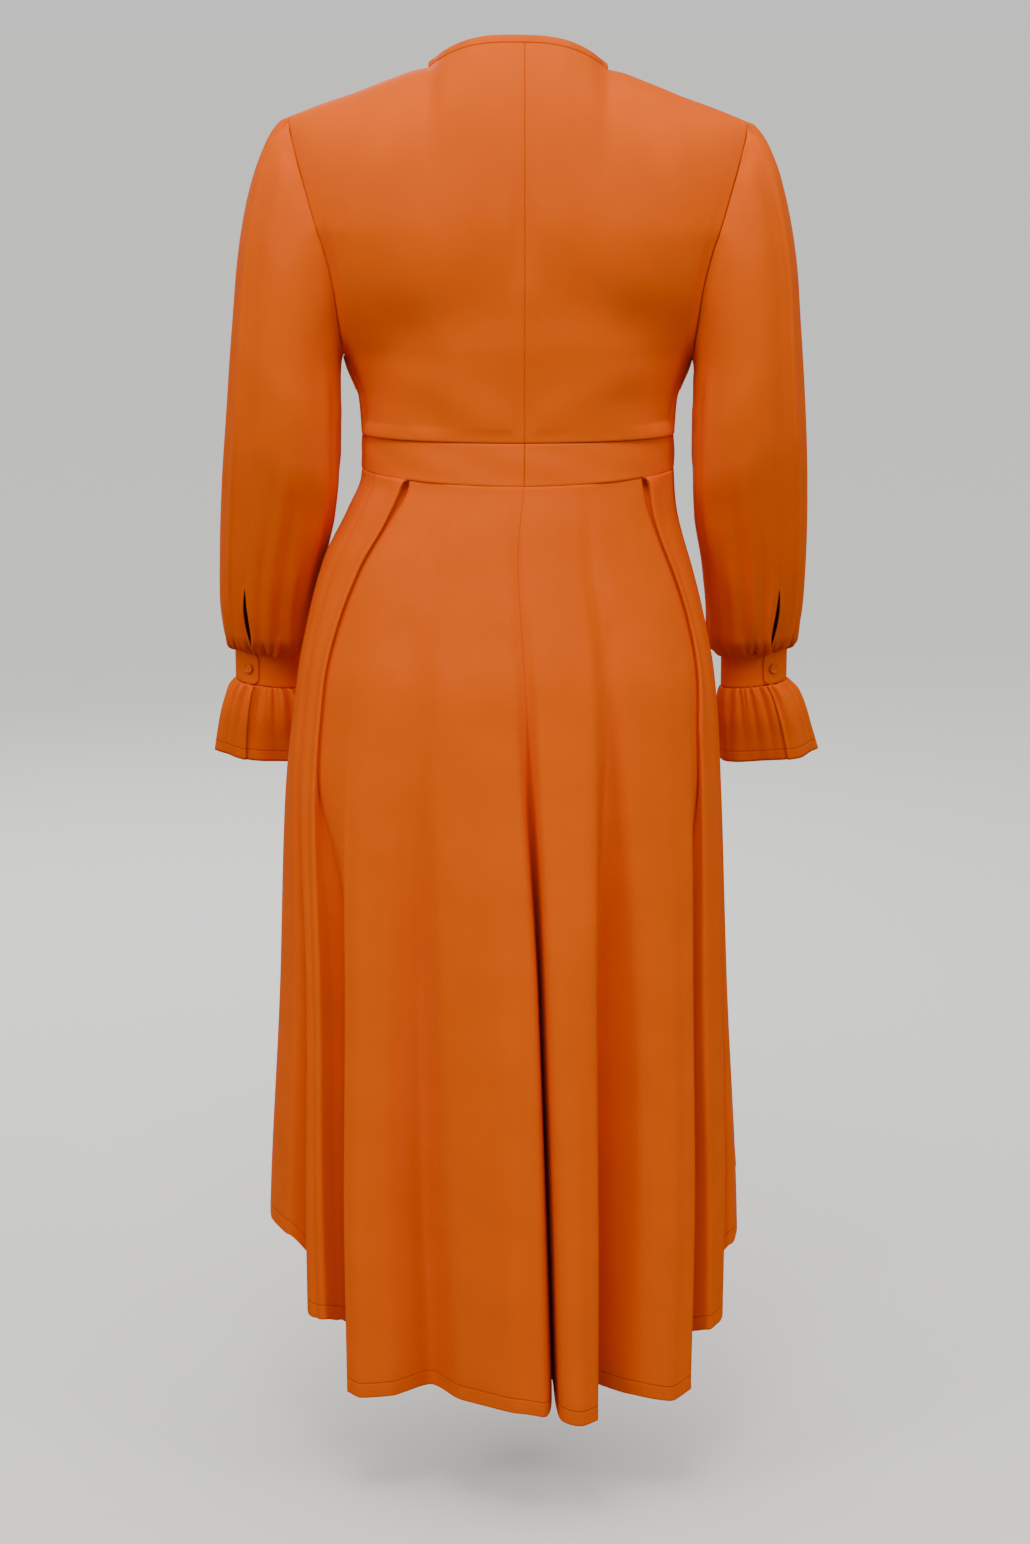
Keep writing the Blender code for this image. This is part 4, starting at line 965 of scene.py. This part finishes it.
def finish_of(name, cloth, hem_at=None):
    """One of the finishes of the crepe, made once, with its hem this far up, in m."""
    return bpy.data.materials.get(name) or crepe_material(name, cloth, hem_at)


def declare(node):
    """Hide the solid that a panel stands for."""
    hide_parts(node)


def cloth_of(context):
    """The cloth's settings, and its plain finish."""
    cloth = context.scene.dress_cloth
    return cloth, finish_of("double_knit_crepe", cloth)


# ---------------------------------------------------------------- settings
class DressCloth(PropertyGroup):
    """Cloth, thread and button settings."""
    wall: FloatProperty(name="Cloth thickness", description="Thickness of one layer of crepe",
                        default=0.0013, min=0.0005, max=0.003, unit="LENGTH", precision=4)
    band_wall: FloatProperty(name="Band thickness",
                             description="Waistband and cuffs, two layers pressed together",
                             default=0.0016, min=0.0005, max=0.004, unit="LENGTH", precision=4)
    binding_wall: FloatProperty(name="Binding thickness", description="Folded neck binding",
                                default=0.002, min=0.0005, max=0.004, unit="LENGTH", precision=4)
    hem: FloatProperty(name="Hem", description="Height of the turned-up and stitched hem",
                       default=0.015, min=0.005, max=0.04, unit="LENGTH", precision=4)
    colour: FloatVectorProperty(name="Crepe", description="Dyed colour of the cloth",
                                default=hex_linear("#E75D00"), size=4, min=0, max=1,
                                subtype="COLOR")
    button_colour: FloatVectorProperty(name="Button", description="Dyed colour of the buttons",
                                       default=hex_linear("#CE5600"), size=4, min=0, max=1,
                                       subtype="COLOR")


class DressShape(PropertyGroup):
    """How finely the panels are made, and how full their gathers are."""
    skirt_columns: IntProperty(name="Skirt columns", default=11, min=4, max=12,
                               description="Grid columns between two points of a fold")
    skirt_rows: IntProperty(name="Skirt rows", default=142, min=40, max=260,
                            description="Grid rows from waist to hem")
    gather_height: FloatProperty(name="Sleeve gathers", default=5.8, min=0, max=8,
                                 description="Height of the gathers over the cuff, in mm")
    cap_height: FloatProperty(name="Cap pleats", default=2.6, min=0, max=5,
                              description="Height of the small pleats at the shoulder, in mm")


class DressStage(PropertyGroup):
    """Floor, light and camera."""
    floor_drop: FloatProperty(name="Floor", description="Depth of the floor under the shoulders",
                              default=1.45, min=1.35, max=2, unit="LENGTH")
    floor_colour: FloatVectorProperty(name="Floor colour", description="Colour of the paper",
                                      default=hex_linear("#E4E3E0"), size=4, min=0, max=1,
                                      subtype="COLOR")
    key_power: FloatProperty(name="Key light", description="Power of the large key light",
                             default=34.0, min=0, unit="POWER")
    side_power: FloatProperty(name="Side lights", description="Power of the softbox on each side",
                              default=27.0, min=0, unit="POWER")
    front_power: FloatProperty(name="Front light", default=48.0, min=0, unit="POWER",
                               description="Power of the softbox before the front of the dress")
    ceiling_power: FloatProperty(name="Ceiling light", default=3.0, min=0,
                                 description="Strength of the broad light from the ceiling")
    horizon: FloatProperty(name="Room horizon", description="Brightness of the room's far walls",
                           default=0.8, min=0, max=3)
    sky: FloatProperty(name="Room light", description="Brightness of the rest of the room",
                       default=0.12, min=0, max=3)


# ---------------------------------------------------------------- operators
class DRESS_OT_bodice(Operator):
    """Sew the two back halves and the front of the bodice"""
    bl_idname = "dress.bodice"
    bl_label = "Bodice"

    def execute(self, context):
        cloth, plain = cloth_of(context)
        up = spread(BODICE_ROWS, True, True, 0.8)
        across = spread(BACK_COLUMNS, True, True, 0.75)
        for label, side, area in (("left", 1, 0.085), ("right", -1, 0.080)):
            points = self.creased(bodice_points(side, False, across, up), BACK_CREASES)
            made = add_panel("dressed_bodice_back_" + label, points, BODICE_INSIDE, cloth.wall,
                             plain, EVERY_EDGE)
            declare("bodice_back_" + label)
        across = spread(FRONT_COLUMNS, False, True, 0.6)
        right = bodice_points(-1, True, across, up)[:, ::-1]
        points = np.concatenate([right, bodice_points(1, True, across, up)[:, 1:]], axis=1)
        points = self.creased(points, FRONT_CREASES)
        made = add_panel("dressed_bodice_front", points, BODICE_INSIDE, cloth.wall, plain,
                         EVERY_EDGE)
        declare("bodice_front")
        return {"FINISHED"}

    def creased(self, points, creases):
        """The panel with its creases, which fade out towards its edges."""
        across, down = lengths(points, 1), lengths(points, 0)
        inset = np.minimum(np.minimum(across, across[:, -1:] - across),
                           np.minimum(down, down[-1:] - down))
        fade = np.clip(inset / 14.0, 0, 1) ** 2
        height = crease_height(points[..., 0], -points[..., 2], creases) * fade
        sign = facing_out(points, BODICE_INSIDE)
        return points + grid_normals(points) * (sign * height)[..., None]


class DRESS_OT_binding(Operator):
    """Bind the neck edge with a folded strip"""
    bl_idname = "dress.binding"
    bl_label = "Neck binding"

    def execute(self, context):
        cloth, plain = cloth_of(context)
        points = binding_points(np.linspace(0, 1, 81), 8)[::-1]
        ring = np.concatenate([points, points[:, :1]], axis=1)
        made = add_panel("dressed_neck_band", ring, NECK_INSIDE, cloth.binding_wall, plain, ())
        close_ring(made)
        declare("neck_band")
        return {"FINISHED"}


class DRESS_OT_waistband(Operator):
    """Sew the three pieces of the waistband"""
    bl_idname = "dress.waistband"
    bl_label = "Waistband"

    def execute(self, context):
        cloth, plain = cloth_of(context)
        half_gap = math.degrees(SEAM / 2 / BODY[1].back)
        start = math.degrees(math.asin(CENTRE_BACK / BODY[1].half_width))
        spans = (("back_left", start + half_gap, 90 - half_gap, 0.185),
                 ("back_right", start - half_gap, half_gap - 90, 0.17),
                 ("front", 90 + half_gap, 270 - half_gap, 0.365))
        for label, begin, end, width in spans:
            count = BAND_FRONT_COLUMNS if label == "front" else BAND_BACK_COLUMNS
            angle = begin + (end - begin) * spread(count, True, True, 0.7)
            top = waist_drop(angle, WAIST_TOP_BACK, WAIST_TOP_SIDE) + RIDGE_GAP / 2
            low = waist_drop(angle, WAIST_LOW_BACK, WAIST_LOW_SIDE)
            share = spread(BAND_ROWS, True, True, 0.6)[:, None]
            drop = top + (low - top) * share
            ripple = 0.45 * np.sin(np.radians(angle) * 9 + 5 * share) * np.sin(math.pi * share)
            points = body_point(angle + 0 * drop, ripple + 0.5 * np.sin(math.pi * share), drop)
            made = add_panel("dressed_waistband_" + label, points, BAND_INSIDE,
                             cloth.band_wall, plain, EVERY_EDGE, 0.6)
            declare("waistband_" + label)
        return {"FINISHED"}


class DRESS_OT_skirt(Operator):
    """Hang the fluted skirt with its two knife pleats from the waistband"""
    bl_idname = "dress.skirt"
    bl_label = "Skirt"

    def execute(self, context):
        cloth, shape = context.scene.dress_cloth, context.scene.dress_shape
        hemmed = finish_of("double_knit_crepe_hemmed", cloth, cloth.hem)
        count = len(fold_nodes())
        left_seam = count - 1
        back_seam = node_index("centre", 3)
        right_seam = node_index("right_side", 3)
        spans = (("back_left", left_seam - count, back_seam, (0.66, 0.96), 0.425),
                 ("back_right", back_seam, right_seam, (0.62, 0.96), 0.405),
                 ("front", right_seam, left_seam, (0.72, 0.78), 0.39))
        for label, begin, end, flat, area in spans:
            steps = shape.skirt_columns if label != "front" else shape.skirt_columns // 2
            places = np.linspace(begin, end, (end - begin) * steps + 1)
            places[0] += 0.003
            places[-1] -= 0.003
            beyond = np.concatenate([[2 * begin - places[1]], places, [2 * end - places[-2]]])
            rows = spread(shape.skirt_rows, True, True, 0.8)
            points = skirt_points(beyond, rows)
            normals = grid_normals(points)[:, 1:-1]
            away = points[0, 1:-1] * (1, 1, 0) - WAIST_AXIS
            normals[0] = unit(away) * facing_out(points, SKIRT_INSIDE)
            made = add_panel("dressed_skirt_" + label, points[:, 1:-1], SKIRT_INSIDE,
                             cloth.wall, hemmed, ("left", "right", "top"), normals=normals)
            declare("skirt_" + label)
        return {"FINISHED"}


class DRESS_OT_sleeves(Operator):
    """Set in the bishop sleeves"""
    bl_idname = "dress.sleeves"
    bl_label = "Sleeves"

    def execute(self, context):
        cloth, plain = cloth_of(context)
        shape = context.scene.dress_shape
        stations = (len(SLEEVE) - 1) * spread(SLEEVE_ROWS, True, True, 0.75)
        for label, side, area in (("left", 1, 0.175), ("right", -1, 0.172)):
            points = sleeve_points(side, stations, SLEEVE_COLUMNS, shape.gather_height,
                                   shape.cap_height)
            inside = (side * SLEEVE_INSIDE[0], SLEEVE_INSIDE[1])
            made = add_panel("dressed_sleeve_" + label, tucked_in_cuff(side, points), inside,
                             cloth.wall, plain, ("top",))
            close_ring(made)
            declare("sleeve_" + label)
        return {"FINISHED"}


class DRESS_OT_cuffs(Operator):
    """Button the cuffs round the wrists and gather the ruffles on to them"""
    bl_idname = "dress.cuffs"
    bl_label = "Cuffs and ruffles"

    def execute(self, context):
        cloth, plain = cloth_of(context)
        ruffle_cloth = finish_of("double_knit_crepe_ruffle", cloth, RUFFLE_HEM)
        for label, side in SIDES:
            rings = cuff_rings(side)
            inside = (side * rings[0].x, CUFF_Y)
            turn = (360.0 + CUFF_LAP) * spread(CUFF_COLUMNS, True, False, 0.5)
            share = spread(CUFF_ROWS, True, True, 0.6)
            points = wrap_points(side, rings, turn, share, CUFF_LAP, CUFF_LIFT)
            made = add_panel("dressed_cuff_" + label, self.with_round_corners(points), inside,
                             cloth.band_wall, plain, ("top", "bottom", "left"), 0.7)
            declare("cuff_" + label)
            turn = (360.0 + RUFFLE_LAP) * spread(RUFFLE_COLUMNS, True, False, 0.3)
            share = spread(RUFFLE_ROWS, True, False, 0.3)
            points = wrap_points(side, ruffle_rings(side), turn, share, RUFFLE_LAP, RUFFLE_LIFT,
                                 RUFFLE_END, RUFFLE_GATHERS, RUFFLE_FLARES)
            made = add_panel("dressed_ruffle_" + label, points, inside, cloth.wall, ruffle_cloth,
                             ("top",), 0.6)
            declare("ruffle_" + label)
        return {"FINISHED"}

    def with_round_corners(self, points):
        """The cuff's button end with its two corners rounded off."""
        away = lengths(points, 1).mean(axis=0)
        inset = np.where(away < CUFF_CORNER,
                         CUFF_CORNER - np.sqrt(np.maximum(
                             CUFF_CORNER ** 2 - (CUFF_CORNER - away) ** 2, 0)), 0)
        middle = (points[:1, :, 2] + points[-1:, :, 2]) / 2
        half = (points[:1, :, 2] - points[-1:, :, 2]) / 2
        points[..., 2] = middle + (points[..., 2] - middle) * (1 - inset / half)
        return points


class DRESS_OT_buttons(Operator):
    """Sew a dished button on to each cuff"""
    bl_idname = "dress.buttons"
    bl_label = "Buttons"

    def execute(self, context):
        cloth = context.scene.dress_cloth
        resin = button_material(cloth)
        for label, side in SIDES:
            low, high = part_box("button_" + label)
            middle = (Vector(low) + Vector(high)) / 2
            theta = math.radians(BUTTON_ANGLE)
            normal = Vector((side * math.cos(theta) / CUFF_HALF_X,
                             math.sin(theta) / CUFF_HALF_Y, 0)).normalized()
            made = self.turned_button("dressed_button_" + label)
            turn = Vector((0, 0, 1)).rotation_difference(normal).to_matrix().to_4x4()
            made.data.transform(Matrix.Translation(middle) @ turn)
            made.data.materials.append(resin)
            made.data.shade_smooth()
            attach(made, "root")
            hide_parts("button_" + label)
        return {"FINISHED"}

    def turned_button(self, name):
        """A round blank, dished inside a raised rim, with its edges softened."""
        bpy.ops.object.select_all(action="DESELECT")
        bpy.ops.mesh.primitive_cylinder_add(vertices=56, radius=BUTTON_RADIUS * MM,
                                            depth=BUTTON_HEIGHT * MM, location=(0, 0, 0))
        made = bpy.context.object
        made.name = made.data.name = name
        bpy.ops.object.mode_set(mode="EDIT")
        for thickness, depth in BUTTON_STEPS:
            self.select_top(made)
            bpy.ops.mesh.inset(thickness=thickness * MM, depth=depth * MM)
        bpy.ops.mesh.select_all(action="DESELECT")
        bpy.ops.object.mode_set(mode="OBJECT")
        soften = made.modifiers.new("softened edges", "BEVEL")
        soften.width, soften.segments, soften.limit_method = 0.22 * MM, 3, "ANGLE"
        bpy.ops.object.modifier_apply(modifier=soften.name)
        return made

    def select_top(self, made):
        """Select only the innermost face of the button's outer side."""
        shape = bmesh.from_edit_mesh(made.data)
        for face in shape.faces:
            face.select = False
        up = [face for face in shape.faces if face.normal.z > 0.9]
        top = min(up, key=lambda face: face.calc_center_median().to_2d().length
                  - 0.001 * len(face.verts))
        top.select = True
        bmesh.update_edit_mesh(made.data)


class DRESS_OT_stage(Operator):
    """Set up the floor, the soft studio lights and the camera behind the dress"""
    bl_idname = "dress.stage"
    bl_label = "Studio"

    def execute(self, context):
        stage = context.scene.dress_stage
        bpy.ops.object.select_all(action="DESELECT")
        bpy.ops.mesh.primitive_plane_add(size=800.0, location=(0, 0, -stage.floor_drop))
        floor = context.object
        floor.name = "studio_floor"
        floor.data.materials.append(floor_material(stage))
        floor.visible_diffuse = False       # the bright paper throws no light up the skirt
        context.scene.world = self.room(stage)
        data = bpy.data.lights.new("ceiling_light", "SUN")
        data.energy, data.angle = stage.ceiling_power, math.radians(100)
        ceiling = bpy.data.objects.new("ceiling_light", data)
        ceiling.rotation_euler = (math.radians(-12), 0, 0)
        context.scene.collection.objects.link(ceiling)
        for name, power, size, place, drop in (
                ("key_light", stage.key_power, 0.9, (0.2, 2.0, 2.0), 0.4),
                ("left_light", stage.side_power, 0.9, (2.3, 1.9, 0.9), 0.5),
                ("right_light", 0.8 * stage.side_power, 0.9, (-2.3, 1.9, 0.9), 0.5),
                ("front_light", stage.front_power, 1.6, (0.8, -3.0, 0.9), 0.6)):
            self.add_light(name, power, size, place, (0, 0, -drop))
        data = bpy.data.cameras.new("studio_camera")
        data.sensor_fit, data.sensor_height, data.lens = "VERTICAL", 24.0, 53.13
        camera = bpy.data.objects.new("studio_camera", data)
        camera.location = (0.004, 3.40, 0.06)
        aim = Vector((0.004, 0.0, -0.70)) - camera.location
        camera.rotation_euler = aim.to_track_quat("-Z", "Y").to_euler()
        context.scene.collection.objects.link(camera)
        context.scene.camera = camera
        return {"FINISHED"}

    def room(self, stage):
        """A plain room, pale round the horizon and dimmer above and below it."""
        world = bpy.data.worlds.new("pale_room")
        world.use_nodes = True
        tree = world.node_tree
        place = add_node(tree, "TexCoord")
        parts = add_node(tree, "SeparateXYZ", Vector=(place, "Generated"))
        slope = maths(tree, "ABSOLUTE", (parts, 2))
        glow = remap(tree, slope, 0.02, 0.22, stage.horizon, stage.sky, "SMOOTHSTEP")
        set_inputs(tree, tree.nodes["Background"], {"_0": (1, 1, 1, 1), "_1": glow})
        return world

    def add_light(self, name, power, size, place, aim):
        """A large square softbox, aimed at a point."""
        data = bpy.data.lights.new(name, "AREA")
        data.energy, data.size = power, size
        light = bpy.data.objects.new(name, data)
        light.location = place
        light.rotation_euler = (Vector(aim) - Vector(place)).to_track_quat("-Z", "Y").to_euler()
        bpy.context.scene.collection.objects.link(light)


class DRESS_PT_panel(Panel):
    """Sidebar panel that lists the dress's pieces and settings"""
    bl_label = "Pleated Midi Dress"
    bl_space_type = "VIEW_3D"
    bl_region_type = "UI"
    bl_category = "Dress"

    def draw(self, context):
        scene = context.scene
        for settings in (scene.dress_cloth, scene.dress_shape, scene.dress_stage):
            box = self.layout.box()
            for name in settings.bl_rna.properties.keys():
                if name not in ("rna_type", "name"):
                    box.prop(settings, name)
        for operator in PIECES:
            self.layout.operator(operator.bl_idname)


PIECES = (DRESS_OT_bodice, DRESS_OT_binding, DRESS_OT_waistband, DRESS_OT_skirt,
          DRESS_OT_sleeves, DRESS_OT_cuffs, DRESS_OT_buttons, DRESS_OT_stage)
SETTINGS = {"dress_cloth": DressCloth, "dress_shape": DressShape, "dress_stage": DressStage}
CLASSES = (*SETTINGS.values(), *PIECES, DRESS_PT_panel)


def register():
    """Register the classes and attach their settings to the scene."""
    for cls in CLASSES:
        bpy.utils.register_class(cls)
    for name, cls in SETTINGS.items():
        setattr(bpy.types.Scene, name, PointerProperty(type=cls))


def unregister():
    """Take the settings and classes away again."""
    for name in SETTINGS:
        delattr(bpy.types.Scene, name)
    for cls in reversed(CLASSES):
        bpy.utils.unregister_class(cls)


def main():
    """Make the whole dress and its stage."""
    register()
    bpy.ops.dress.bodice()
    bpy.ops.dress.binding()
    bpy.ops.dress.waistband()
    bpy.ops.dress.skirt()
    bpy.ops.dress.sleeves()
    bpy.ops.dress.cuffs()
    bpy.ops.dress.buttons()
    bpy.ops.dress.stage()


if __name__ == "__main__":
    main()
